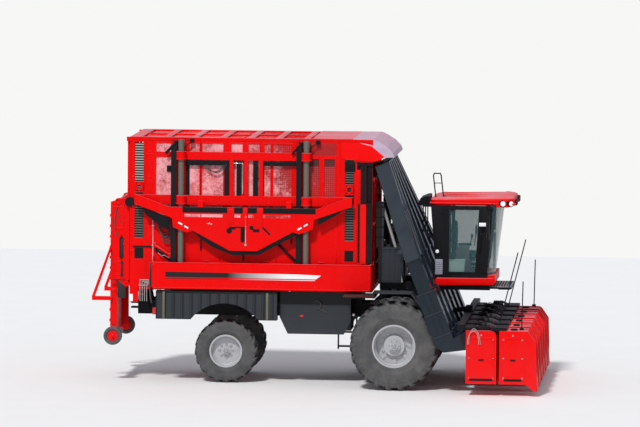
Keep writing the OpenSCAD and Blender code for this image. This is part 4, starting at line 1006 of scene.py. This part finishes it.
class PICKER_OT_duct_trim(bpy.types.Operator):
    """Models the corner strips, bolts and clamp bands of the air ducts"""

    bl_idname = "picker.duct_trim"
    bl_label = "Duct trim"

    def execute(self, context):
        fixed, moving = [], []
        for row in ROWS:
            low_y, top_y = row * ROW_PITCH, row * TOP_PITCH
            for across, aside in product((-0.14, 0.14), (-0.17, 0.17)):
                fixed.append(strip((across, 1.62), (across, 1.73), low_y + aside, low_y + aside, 0.005))
                fixed.append(strip((across, 1.764), (across, 3.66), low_y + aside, top_y + aside, 0.009))
            for across, (side, _) in product((-0.10, 0.0, 0.10), SIDES):
                x, z = duct_point(across, 1.742)
                fixed += bolt((x, low_y + side * SLEEVE_FACE, z), (0, side, 0), 0.010, 0.008)
            # Clamp bands and seam ribs of the moving sleeve
            for along in (0.16, 0.62, 1.06):
                for y in (low_y - SLEEVE_HALF, low_y + SLEEVE_HALF):
                    moving.append(strip((-SLEEVE_HALF, along), (SLEEVE_HALF, along), y, y, 0.010))
                for x in (-0.192, 0.192):
                    moving.append(strip((x, along), (x, along), low_y - SLEEVE_HALF, low_y + SLEEVE_HALF, 0.010))
            for aside, across in product((-SLEEVE_FACE, SLEEVE_FACE), (-0.06, 0.06)):
                moving.append(strip((across, 0.18), (across, 1.04), low_y + aside, low_y + aside, 0.006))
        finished("duct_strips", fixed, "chassis", "duct_paint", edge=0)
        finished("sleeve_bands", moving, "header", "duct_paint", edge=0)
        return {"FINISHED"}


class PICKER_OT_cooling_trim(bpy.types.Operator):
    """Models the grilles, cap and pipes of the cooling package"""

    bl_idname = "picker.cooling_trim"
    bl_label = "Cooling trim"

    def execute(self, context):
        lean = Matrix.Rotation(math.radians(28), 3, "Y")
        slats = [block((1.688, -0.62, 2.14 + i * 0.042), (1.706, 0.62, 2.152 + i * 0.042), lean) for i in range(14)]
        slats.append(frame_box(1.28, 1.64, 2.10, 2.70, 0.012, 1.106, 1.096))
        slats += [block((1.235, -1.108, z - 0.012), (1.685, -1.095, z + 0.012)) for z in (2.08, 2.73)]
        slats += [block((1.33 + 0.1 * i, -0.86, 2.788), (1.37 + 0.1 * i, 0.86, 2.800)) for i in range(4)]
        finished("cooling_grille", slats, "chassis", "tank_plastic", edge=0.002)

        pipes = [bar((1.45, y, 3.165), (1.45, y, 3.20), 0.085, 24, 0.05) for y in (-0.62, 0.62)]
        for k in range(3):
            y, x = -0.95 + 0.06 * k, 1.47 + 0.05 * k
            pipes += pipe([(x, y, 2.76), (x, y, 3.05 + 0.06 * k), (x + 0.13, y, 3.12 + 0.06 * k)], 0.022)
        for y in (-0.98, 0.98):
            pipes += [block((1.174, y - 0.126, z), (1.336, y + 0.126, z + 0.03)) for z in (2.95, 3.15, 3.35, 3.55)]
            pipes.append(block((1.168, y - 0.13, 3.634), (1.342, y + 0.13, 3.655)))
        finished("intake_pipes", pipes, "chassis", "dark_paint")

        strut = [bar((1.56, -1.05, 2.79), (1.30, -1.0, 3.60), 0.030, 12),
                 bar((1.70, -1.06, 2.06), (1.56, -1.05, 2.80), 0.026, 12)]
        finished("stay_rods", mirrored(strut), "chassis", "steel", "grey_hose", edge=0)
        return {"FINISHED"}


def roof_shell():
    """The cab's roof: a shallow tray with rounded corners, a raised crown and a brow over the windscreen."""
    obj = block((2.24, -0.82, 3.595), (3.92, 0.82, 3.70))
    pick(obj, "EDGE", lambda edge: abs(edge.verts[0].co.z - edge.verts[1].co.z) > 0.05)
    bpy.ops.mesh.bevel(offset=0.13, segments=5)
    bpy.ops.object.mode_set(mode="OBJECT")
    for step, rise in ((0.020, 0.030), (0.045, 0.022), (0.065, 0.010), (0.012, -0.006), (0.012, 0.008)):
        top = max(face.center.z for face in obj.data.polygons)
        pick(obj, "FACE", lambda face: face.calc_center_median().z > top - 0.001 and face.normal.z > 0.9)
        bpy.ops.mesh.extrude_region_move(TRANSFORM_OT_translate={"value": (0, 0, rise)})
        edit = bmesh.from_edit_mesh(obj.data)
        moved = [v for v in edit.verts if v.select]
        half_x, half_y = max(v.co.x for v in moved) - ROOF_X, max(v.co.y for v in moved)
        for v in moved:
            v.co.x = ROOF_X + (v.co.x - ROOF_X) * (1 - step / half_x)
            v.co.y *= 1 - step / half_y
        bmesh.update_edit_mesh(obj.data)
        bpy.ops.object.mode_set(mode="OBJECT")
    for vertex in obj.data.vertices:
        # The crown falls a little towards the rear, and the brow stands out at the front
        if vertex.co.z > 3.71:
            vertex.co.z += 0.018 * (vertex.co.x - ROOF_X) / 0.84
    return obj


class PICKER_OT_cab_trim(bpy.types.Operator):
    """Models the cab's roof, hoop, lamp rims, seals, handles, mirrors and steps"""

    bl_idname = "picker.cab_trim"
    bl_label = "Cab trim"

    def execute(self, context):
        lip = frame_panel([(-0.9, -0.84), (0.8, -0.84), (0.86, -0.78), (0.86, 0.78), (0.8, 0.84), (-0.8, 0.84),
                           (-0.86, 0.78), (-0.86, -0.78)], 0.035, 0.0, 0.022)
        lip.data.transform(Matrix.Translation((ROOF_X, 0, 3.622)) @ Matrix.Rotation(math.pi / 2, 4, "X"))
        roof = [roof_shell(), lip, block((3.55, -0.835, 3.565), (3.80, 0.835, 3.60))]
        roof += [block((2.46, y - 0.02, 3.752), (3.70, y + 0.02, 3.768)) for y in (-0.45, 0.0, 0.45)]
        obj = finished("cab_roof_shell", roof, "chassis", "red_paint", edge=0.006)
        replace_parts(obj, "cab_roof")

        hoop = pipe([(2.338, -0.62, 3.70), (2.283, -0.62, 4.17), (2.30, -0.62, 4.215), (2.42, -0.62, 4.215),
                     (2.438, -0.62, 4.17), (2.492, -0.62, 3.71)], 0.0125, 12)
        hoop += pipe([(2.30, -0.60, 4.02), (2.452, -0.60, 4.02)], 0.008)
        # Breather pipes from the canopy down behind the cab
        for x, z in ((2.10, 3.00), (2.145, 2.95), (2.19, 2.90)):
            hoop += pipe([(x, -0.83, 3.60), (x, -0.83, z + 0.08), (x + 0.16, -0.83, z)], 0.012)
        hoop.append(block((2.08, -0.845, 3.56), (2.30, -0.815, 3.60)))
        finished("hoop_and_pipes", hoop, "chassis", "dark_paint", edge=0)

        lamps, rims = [], []
        for y in (-0.64, -0.35, 0.35, 0.64):
            rims.append(ring((3.945, y, 3.655), 0.058, 0.046, 0.035, "X", 32))
            rims.append(block((3.90, y - 0.07, 3.60), (3.93, y + 0.07, 3.71)))
            lamps.append(bar((3.935, y, 3.655), (3.957, y, 3.655), 0.046, 32, 0.040))
        for (side, _), (x, y, aim) in product(SIDES, ((3.674, 0.815, 20), (3.822, 0.80, 42))):
            out = Vector((math.sin(math.radians(aim)), side * math.cos(math.radians(aim)), 0))
            spot = Vector((x, side * y, 3.64))
            rims.append(bar(spot - out * 0.03, spot + out * 0.045, 0.070, 28, 0.066))
            lamps.append(bar(spot + out * 0.03, spot + out * 0.058, 0.060, 28, 0.048))
        finished("lamp_rims", rims, "chassis", "dark_paint")
        finished("lamp_lenses", lamps, "chassis", "lamp", edge=0.003)

        # Pillars, window seals, handles and wiper
        seal = [panel([(2.368, 2.215), (2.253, 3.588), (2.46, 3.588), (2.50, 2.215)],
                      *sorted((side * 0.80, side * 0.871))) for side, _ in SIDES]
        seal += [panel([(3.143, 2.215), (3.385, 2.215), (3.488, 3.588), (3.218, 3.588)], -0.874, -0.866),
                 frame_panel([(2.475, 2.215), (3.20, 2.215), (3.29, 3.56), (2.455, 3.56)], 0.05, -0.876, -0.866),
                 block((2.44, -0.873, 2.15), (3.40, -0.866, 2.222)),
                 bar((3.375, -0.25, 2.42), (3.43, 0.12, 3.02), 0.009, 8),
                 bar((3.405, 0.02, 2.62), (3.44, 0.20, 3.20), 0.006, 6)]
        seal += [bar((3.36, y, 2.40), (3.47, y, 3.45), 0.012, 8) for y in (-0.80, 0.80)]
        seal += pipe([(3.24, -0.873, 2.66), (3.24, -0.93, 2.68), (3.25, -0.93, 3.02), (3.25, -0.873, 3.04)], 0.011, 8)
        seal += pipe([(3.36, -0.86, 3.585), (3.37, -0.95, 3.60), (3.50, -0.99, 3.645)], 0.010, 8)
        finished("cab_seals", seal, "chassis", "dark_paint", edge=0.002)
        small = [block((3.225, -0.99, 3.195), (3.36, -0.965, 3.265)),
                 bar((3.29, -0.97, 3.23), (3.29, -0.87, 3.25), 0.012, 10)]
        finished("side_mirror", small, "chassis", "lamp", "white_trim", edge=0.008, segments=3)
        sill = [panel([(2.40, 1.995), (3.50, 2.015), (3.53, 2.04), (3.535, 2.125), (3.51, 2.155), (2.385, 2.15),
                       (2.36, 2.12), (2.36, 2.03)], *sorted((side * 0.84, side * 0.884))) for side, _ in SIDES]
        finished("sill_covers", sill, "chassis", "red_paint", edge=0.012, segments=3)

        mirror, glass = [], []
        for y in (-1.26, 1.26):
            mirror.append(frame_box(3.392, 3.442, 2.955, 3.405, 0.004, 0.084 - y, -0.084 - y))
            glass.append(block((3.392, y - 0.066, 2.985), (3.400, y + 0.066, 3.375)))
        finished("mirror_rims", mirror, "chassis", "dark_paint")
        finished("mirror_glass", glass, "chassis", "rod_steel", edge=0.002)

        pads = [block((2.353, -0.898, 2.215), (2.500, -0.868, 2.520))]
        pads += [block((2.368, -0.906, 2.25 + 0.042 * i), (2.486, -0.894, 2.268 + 0.042 * i)) for i in range(6)]
        finished("pillar_louvres", pads, "chassis", "tank_plastic", "pale_grey", edge=0.006, segments=3)
        lamp = [bar((2.39, -0.868, 2.674), (2.39, -0.925, 2.674), 0.040, 24, 0.032)]
        finished("side_lamp", lamp, "chassis", "lamp", edge=0.006, segments=3)

        bin_wall = block((2.60, -0.82, 2.215), (2.92, -0.52, 2.50))
        for vertex in bin_wall.data.vertices:
            if vertex.co.z > 2.4:
                vertex.co.x += 0.02 if vertex.co.x > 2.8 else -0.02
        pick(bin_wall, "FACE", lambda face: face.normal.z > 0.9)
        bpy.ops.mesh.inset(thickness=0.012, depth=0.0)
        bpy.ops.mesh.extrude_region_move(TRANSFORM_OT_translate={"value": (0, 0, -0.26)})
        bpy.ops.object.mode_set(mode="OBJECT")
        lip = block((2.57, -0.83, 2.485), (2.95, -0.822, 2.505))
        finished("cab_bin", [bin_wall, lip], "chassis", "tank_plastic", "green_plastic", edge=0.004)

        under = [block((3.60, -0.62, 1.905), (3.84, 0.62, 1.955))]
        finished("step_box", under, "chassis", "dark_paint", edge=0.004)
        step = [block((3.41 + i * 0.053, -0.69, 1.958), (3.43 + i * 0.053, 0.69, 1.968)) for i in range(9)]
        step += [block((3.385, y, 1.956), (3.865, y + 0.03, 1.972)) for y in (-0.69, 0.66)]
        finished("step_treads", step, "chassis", "steel", edge=0.002)
        return {"FINISHED"}


def puffed(low, high, swell, channels=()):
    """A crowned cushion between two corners: remeshed, blown up as cloth, then given its sewn channels."""
    obj = block([a + swell for a in low], [b - swell for b in high])
    modified(obj, "BEVEL", width=0.03, segments=3)
    modified(obj, "REMESH", mode="VOXEL", voxel_size=0.012)
    start = [v.co.copy() for v in obj.data.vertices]
    cloth = obj.modifiers.new("Cloth", "CLOTH")
    cloth.settings.use_pressure, cloth.settings.uniform_pressure_force = True, CUSHION_PRESSURE
    cloth.settings.effector_weights.gravity = 0.0
    scene = bpy.context.scene
    for step in range(1, CUSHION_FRAMES + 1):
        scene.frame_set(step)
        shape = obj.evaluated_get(bpy.context.evaluated_depsgraph_get()).data
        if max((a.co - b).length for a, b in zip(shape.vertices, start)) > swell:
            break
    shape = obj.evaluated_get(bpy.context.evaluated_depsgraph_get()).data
    held = [v.co.copy() for v in shape.vertices]
    obj.modifiers.remove(cloth)
    for vertex, first, last in zip(obj.data.vertices, start, held):
        move = last - first
        vertex.co = first + move * min(1.0, swell / max(move.length, 1e-6))
    scene.frame_set(1)
    for axis, place, depth in channels:
        for vertex in obj.data.vertices:
            near = math.exp(-((vertex.co[axis] - place) / SEAM_WIDTH) ** 2)
            vertex.co -= vertex.normal * depth * near
    only(obj)
    modified(obj, "SUBSURF", levels=1, render_levels=1)
    return obj


class PICKER_OT_seat(bpy.types.Operator):
    """Models the driver's seat, armrest, steering column and monitor"""

    bl_idname = "picker.seat"
    bl_label = "Seat and controls"

    def execute(self, context):
        cushion = puffed((2.70, -0.25, 2.47), (3.15, 0.25, 2.63), 0.018, ((0, 2.86, 0.008), (0, 3.00, 0.008)))
        back = puffed((2.62, -0.24, 2.60), (2.74, 0.24, 3.24), 0.016,
                      ((2, 2.78, 0.008), (2, 2.95, 0.008), (2, 3.10, 0.006)))
        rest = puffed((2.76, -0.41, 2.74), (3.06, -0.31, 2.82), 0.010)
        for name, piece in (("seat_cushion", cushion), ("seat_back", back), ("seat_armrest", rest)):
            finished(name, [piece], "chassis", "seat_fabric", edge=0)
        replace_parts(cushion, "cab_seat")

        stand = [block((2.80, -0.17, 2.212), (3.04, 0.17, 2.30)), block((2.74, -0.20, 2.42), (3.10, 0.20, 2.47)),
                 block((2.63, -0.20, 2.44), (2.70, 0.20, 2.60)), block((2.74, -0.40, 2.215), (3.00, -0.31, 2.74)),
                 bar((3.05, -0.36, 2.92), (3.055, -0.36, 2.99), 0.026, 16, 0.018)]
        stand += [block((2.84 + 0.004 * i, -0.14, 2.30 + 0.024 * i), (3.02 - 0.004 * i, 0.14, 2.314 + 0.024 * i))
                  for i in range(5)]
        stand += pipe([(3.02, -0.36, 2.80), (3.05, -0.36, 2.93)], 0.012)
        finished("seat_stand", stand, "chassis", "tank_plastic", "grey_plastic")

        turn = Matrix.Translation((3.26, 0, 2.93)) @ Matrix.Rotation(math.radians(-60), 4, "Y")
        deselect()
        bpy.ops.mesh.primitive_torus_add(major_radius=0.175, minor_radius=0.014, major_segments=48, minor_segments=12,
                                         location=(0, 0, 0))
        rim = bpy.context.active_object
        rim.data.transform(turn)
        wheel = [rim, bar(turn @ Vector((0, 0, -0.025)), turn @ Vector((0, 0, 0.02)), 0.045, 24, 0.035)]
        for angle in (90, 210, 330):
            spoke = Matrix.Rotation(math.radians(angle), 4, "Z") @ Vector((1, 0, 0))
            wheel.append(bar(turn @ (spoke * 0.03), turn @ (spoke * 0.17), 0.012, 10))
        wheel.append(bar((3.285, 0, 2.215), (3.268, 0, 2.90), 0.035, 16, 0.028))
        wheel.append(block((3.24, -0.055, 2.215), (3.31, 0.055, 2.55)))
        finished("steering_wheel", wheel, "chassis", "tank_plastic", "grey_plastic")

        screen = [block((3.12, -0.44, 2.98), (3.15, -0.22, 3.16)),
                  bar((3.10, -0.36, 2.76), (3.13, -0.34, 2.99), 0.012, 10)]
        finished("monitor", screen, "chassis", "tank_plastic", "grey_plastic", edge=0.006)
        return {"FINISHED"}


class PICKER_OT_header_trim(bpy.types.Operator):
    """Models the spindles, hoses, bolts and drives of the picking units"""

    bl_idname = "picker.header_trim"
    bl_label = "Picking unit trim"

    def execute(self, context):
        spindle = bar((0.130, 0, 0), (0.150, 0, 0), 0.006, 6, 0.003)
        count, pins = sizes().spindles, []
        for i, k in product(range(12), range(count)):
            z = 0.33 + 0.85 * (k + (i % 2) / 2) / count
            pins.append(copied(spindle, Matrix.Translation((0, 0, z)) @ Matrix.Rotation(math.radians(30 * i), 4, "Z")))
        drum = joined(pins)
        drums = [copied(drum, Matrix.Translation((x, row * ROW_PITCH - DRUM_SIDE, 0)))
                 for row, x in product(ROWS, (3.39, 4.015))]
        removed(spindle, drum)
        finished("spindles", drums, "header", "steel", edge=0, smooth=False)

        hinges, hoses, strips = [], [], []
        for row in ROWS:
            middle = row * ROW_PITCH
            y0, y1, drum_y = middle - UNIT_RIGHT, middle + UNIT_LEFT, middle - DRUM_SIDE
            for x0, x1 in ((3.12, 3.66), (3.80, 4.23)):
                x = (x0 + x1) / 2
                for (y, side), edge, z in product(((y0, -1), (y1, 1)), (x0 + 0.03, x1 - 0.03), (0.36, 0.75, 1.12)):
                    hinges += bolt((edge, y, z), (0, side, 0), 0.010, 0.008)
                hinges += bolt((x, y0, 1.2), (0, -1, 0), 0.012, 0.010)
                strips += slabs(-y0, 0.006, 0.002, [(x0 + 0.04, x1 - 0.04, 0.30, 0.345)])
                strips += slabs(-y0, 0.012, 0, [(x - 0.05, x + 0.05, 0.70, 0.73)])
            # Grease lines over the housings
            for k in range(3):
                x, y = 3.30 + 0.05 * k, middle - 0.30 + 0.06 * k
                hoses.append(hose([(x, y, UNIT_TOP), (x + 0.04, y, 1.36), (3.46, y + 0.02, 1.40 + 0.02 * k),
                                   (3.62, y + 0.02, 1.395), (3.70, y, 1.33), (3.72, y, 1.27)],
                                  sizes().hose_radius * 0.8))
            strips.append(block((3.16, middle - 0.30, UNIT_TOP), (3.24, middle - 0.18, 1.35)))
            strips += [bar((x, drum_y, 1.288), (x, drum_y, 1.325), 0.07, 20, 0.06) for x in (3.42, 4.03)]
        finished("unit_bolts", hinges, "header", "steel", edge=0)
        finished("unit_hoses", hoses, "header", "rubber", "hose", edge=0)
        finished("unit_strips", strips, "header", "dark_paint", edge=0.002)

        hoops = []
        for k in range(2):
            x, y = -0.02 * k, -2.856 - 0.014 * k
            hoops.append(hose([(3.15 + x, y, 1.02), (3.145 + x, y, 1.16), (3.19, y - 0.004, 1.30 - 0.03 * k),
                               (3.25, y - 0.006, 1.345 - 0.05 * k), (3.32, y - 0.004, 1.29 - 0.04 * k),
                               (3.37 - 0.03 * k, y, 1.14), (3.375 - 0.03 * k, y, 1.02)], 0.007))
        finished("end_hoses", mirrored(hoops), "header", "rubber", "grey_hose", edge=0)
        drives = []
        for y in [row * ROW_PITCH - DRUM_SIDE for row in ROWS]:
            drives += [block((3.30, y - 0.11, UNIT_TOP), (3.56, y + 0.11, 1.37)),
                       bar((3.43, y, 1.37), (3.43, y, 1.43), 0.085, 20, 0.06),
                       bar((3.30, y, 1.33), (3.16, y, 1.33), 0.045, 16)]
        finished("unit_drives", drives, "header", "dark_paint", edge=0.006)
        return {"FINISHED"}


class PICKER_OT_chassis_trim(bpy.types.Operator):
    """Models the tanks' straps and caps, the markers, hoses and bolts of the chassis"""

    bl_idname = "picker.chassis_trim"
    bl_label = "Chassis trim"

    def execute(self, context):
        caps = [bar((x, y, 1.845), (x, y, 1.885), 0.075, 24, 0.065) for x, y in ((-2.95, -1.30), (-1.02, 1.30))]
        finished("tank_caps", caps, "chassis", "tank_plastic", "grey_plastic", edge=0.006)
        straps = []
        for side, _ in SIDES:
            low, high = sorted((side * 1.478, side * 1.488))
            straps += [block((x - 0.022, low, 1.30), (x + 0.022, high, 1.84)) for x in (-3.02, -0.95)]
        finished("tank_straps", straps, "chassis", "steel", "yellow_strap", edge=0.002)

        marks = [block((0.735, -1.216, 1.385), (0.777, -1.209, 1.43))]
        finished("side_markers", mirrored(marks), "chassis", "lamp", "white_trim", edge=0.002)
        marks = [block((-0.315, -1.216, 1.352), (-0.25, -1.209, 1.388)),
                 block((-3.262, -1.30, 1.36), (-3.182, -1.22, 1.50))]
        finished("reflectors", mirrored(marks), "chassis", "lamp", "tail_red", edge=0.003)

        hoses = []
        for side, _ in SIDES:
            loop = [(0.02 + 0.085 * math.cos(a), side * (1.235 + 0.004 * a), 1.60 + 0.085 * math.sin(a))
                    for a in [2.6 - 0.5 * i for i in range(10)]]
            hoses.append(hose(loop + [(0.10, side * 1.22, 1.52), (0.22, side * 1.215, 1.44)], 0.013))
            for k in range(4):
                y, sag = side * (0.535 + 0.035 * k), 0.02 * k
                hoses.append(hose([(-0.55, y, 1.45), (-0.1, y, 1.40 - sag), (0.5, y, 1.44), (0.80, y, 1.38 - sag),
                                   (0.90, y, 1.33)], sizes().hose_radius))
        finished("frame_hoses", hoses, "chassis", "rubber", "hose", edge=0)
        bolts = []
        for (side, _), x, z in product(SIDES, (-3.2, -2.9, -0.75, -0.55, 0.3, 0.6, 1.2, 2.0), (1.36, 1.50)):
            bolts += bolt((x, side * RAIL_Y, z), (0, side, 0), sizes().bolt_radius, 0.012)
        finished("frame_bolts", bolts, "chassis", "steel", edge=0)
        return {"FINISHED"}


class PICKER_OT_stage(bpy.types.Operator):
    """Sets the pale floor, the soft light and the camera"""

    bl_idname = "picker.stage"
    bl_label = "Floor, light and camera"

    def execute(self, context):
        set_world()
        set_floor()
        set_camera()
        return {"FINISHED"}


CAMERA_TARGET = Vector((0.078, -1.35, 3.433))
CAMERA_DISTANCE = 121.03
CAMERA_AZIMUTH, CAMERA_ELEVATION, CAMERA_ROLL = (math.radians(turn) for turn in (4.66, 4.43, 0.5))
FOCAL_PIXELS = 6092.3
PICTURE_WIDTH, SENSOR_WIDTH, CLIP_END = 640.0, 36.0, 400.0


def set_camera():
    back = Vector((math.sin(CAMERA_AZIMUTH) * math.cos(CAMERA_ELEVATION),
                   -math.cos(CAMERA_AZIMUTH) * math.cos(CAMERA_ELEVATION), math.sin(CAMERA_ELEVATION)))
    data = bpy.data.cameras.new("camera")
    camera = bpy.data.objects.new("camera", data)
    bpy.context.scene.collection.objects.link(camera)
    data.sensor_width, data.clip_end = SENSOR_WIDTH, CLIP_END
    data.lens = FOCAL_PIXELS / PICTURE_WIDTH * SENSOR_WIDTH
    right = (-back).cross(Vector((0, 0, 1))).normalized()
    up = right.cross(-back)
    turned_right = right * math.cos(CAMERA_ROLL) + up * math.sin(CAMERA_ROLL)
    turned_up = up * math.cos(CAMERA_ROLL) - right * math.sin(CAMERA_ROLL)
    axes = Matrix((turned_right, turned_up, back)).transposed().to_4x4()
    camera.matrix_world = Matrix.Translation(CAMERA_TARGET + back * CAMERA_DISTANCE) @ axes
    bpy.context.scene.camera = camera


def set_world():
    scene = bpy.context.scene
    scene.view_settings.view_transform = "Standard"
    world = scene.world or bpy.data.worlds.new("world")
    scene.world = world
    world.use_nodes = True
    tree = world.node_tree
    tree.nodes.clear()
    path = tree.nodes.new("ShaderNodeLightPath")
    seen = tree.nodes.new("ShaderNodeMath")
    seen.operation = "MAXIMUM"
    tree.links.new(path.outputs["Is Camera Ray"], seen.inputs[0])
    tree.links.new(path.outputs["Is Transmission Ray"], seen.inputs[1])
    dim, bright = tree.nodes.new("ShaderNodeBackground"), tree.nodes.new("ShaderNodeBackground")
    dim.inputs[0].default_value, dim.inputs[1].default_value = (0.85, 0.9, 1.0, 1.0), 0.55
    bright.inputs[0].default_value, bright.inputs[1].default_value = (0.93, 0.93, 0.92, 1.0), 1.0
    mixed, output = tree.nodes.new("ShaderNodeMixShader"), tree.nodes.new("ShaderNodeOutputWorld")
    for start, end in ((seen.outputs[0], mixed.inputs[0]), (dim.outputs[0], mixed.inputs[1]),
                       (bright.outputs[0], mixed.inputs[2]), (mixed.outputs[0], output.inputs[0])):
        tree.links.new(start, end)
    sun = bpy.data.lights.new("sun", "SUN")
    sun.energy, sun.angle = 2.6, math.radians(6)
    obj = bpy.data.objects.new("sun", sun)
    obj.rotation_euler = Vector((0.2, 0.75, -0.85)).to_track_quat("-Z", "Y").to_euler()
    scene.collection.objects.link(obj)


def set_floor():
    deselect()
    bpy.ops.mesh.primitive_plane_add(size=60, location=(0, 0, 0))
    floor = bpy.context.active_object
    floor.data.transform(Matrix.Translation((0, 0, -0.001)))
    floor.name = "floor"
    f = Finish("floor_pale")
    f.shade(f.mix(f.noise(1.2, 3.0), (0.80, 0.79, 0.77), (0.84, 0.83, 0.81)), 0.9)
    floor.data.materials.append(f.material)


# The panel, and the run


OPERATORS = (PICKER_OT_finishes, PICKER_OT_tyres, PICKER_OT_wheel_bolts, PICKER_OT_ramp_wheels,
             PICKER_OT_chamber_trim, PICKER_OT_packer_trim, PICKER_OT_gate_trim, PICKER_OT_duct_trim,
             PICKER_OT_cooling_trim, PICKER_OT_cab_trim, PICKER_OT_seat, PICKER_OT_header_trim,
             PICKER_OT_chassis_trim, PICKER_OT_stage)


class PICKER_PT_panel(bpy.types.Panel):
    """Lists the machine's colours, sizes and groups of pieces"""

    bl_idname = "PICKER_PT_panel"
    bl_label = "Cotton picker"
    bl_space_type = "VIEW_3D"
    bl_region_type = "UI"
    bl_category = "Picker"

    def draw(self, context):
        for group in (context.scene.picker_colours, context.scene.picker_sizes):
            for key in group.bl_rna.properties.keys():
                if key not in ("rna_type", "name"):
                    self.layout.prop(group, key)
        for operator in OPERATORS:
            self.layout.operator(operator.bl_idname)


def register():
    for cls in (PickerColours, PickerSizes) + OPERATORS + (PICKER_PT_panel,):
        bpy.utils.register_class(cls)
    bpy.types.Scene.picker_colours = bpy.props.PointerProperty(type=PickerColours)
    bpy.types.Scene.picker_sizes = bpy.props.PointerProperty(type=PickerSizes)


def unregister():
    del bpy.types.Scene.picker_colours
    del bpy.types.Scene.picker_sizes
    for cls in reversed((PickerColours, PickerSizes) + OPERATORS + (PICKER_PT_panel,)):
        bpy.utils.unregister_class(cls)


def main():
    register()
    for operator in OPERATORS:
        group, call = operator.bl_idname.split(".")
        getattr(getattr(bpy.ops, group), call)()


if __name__ == "__main__":
    main()
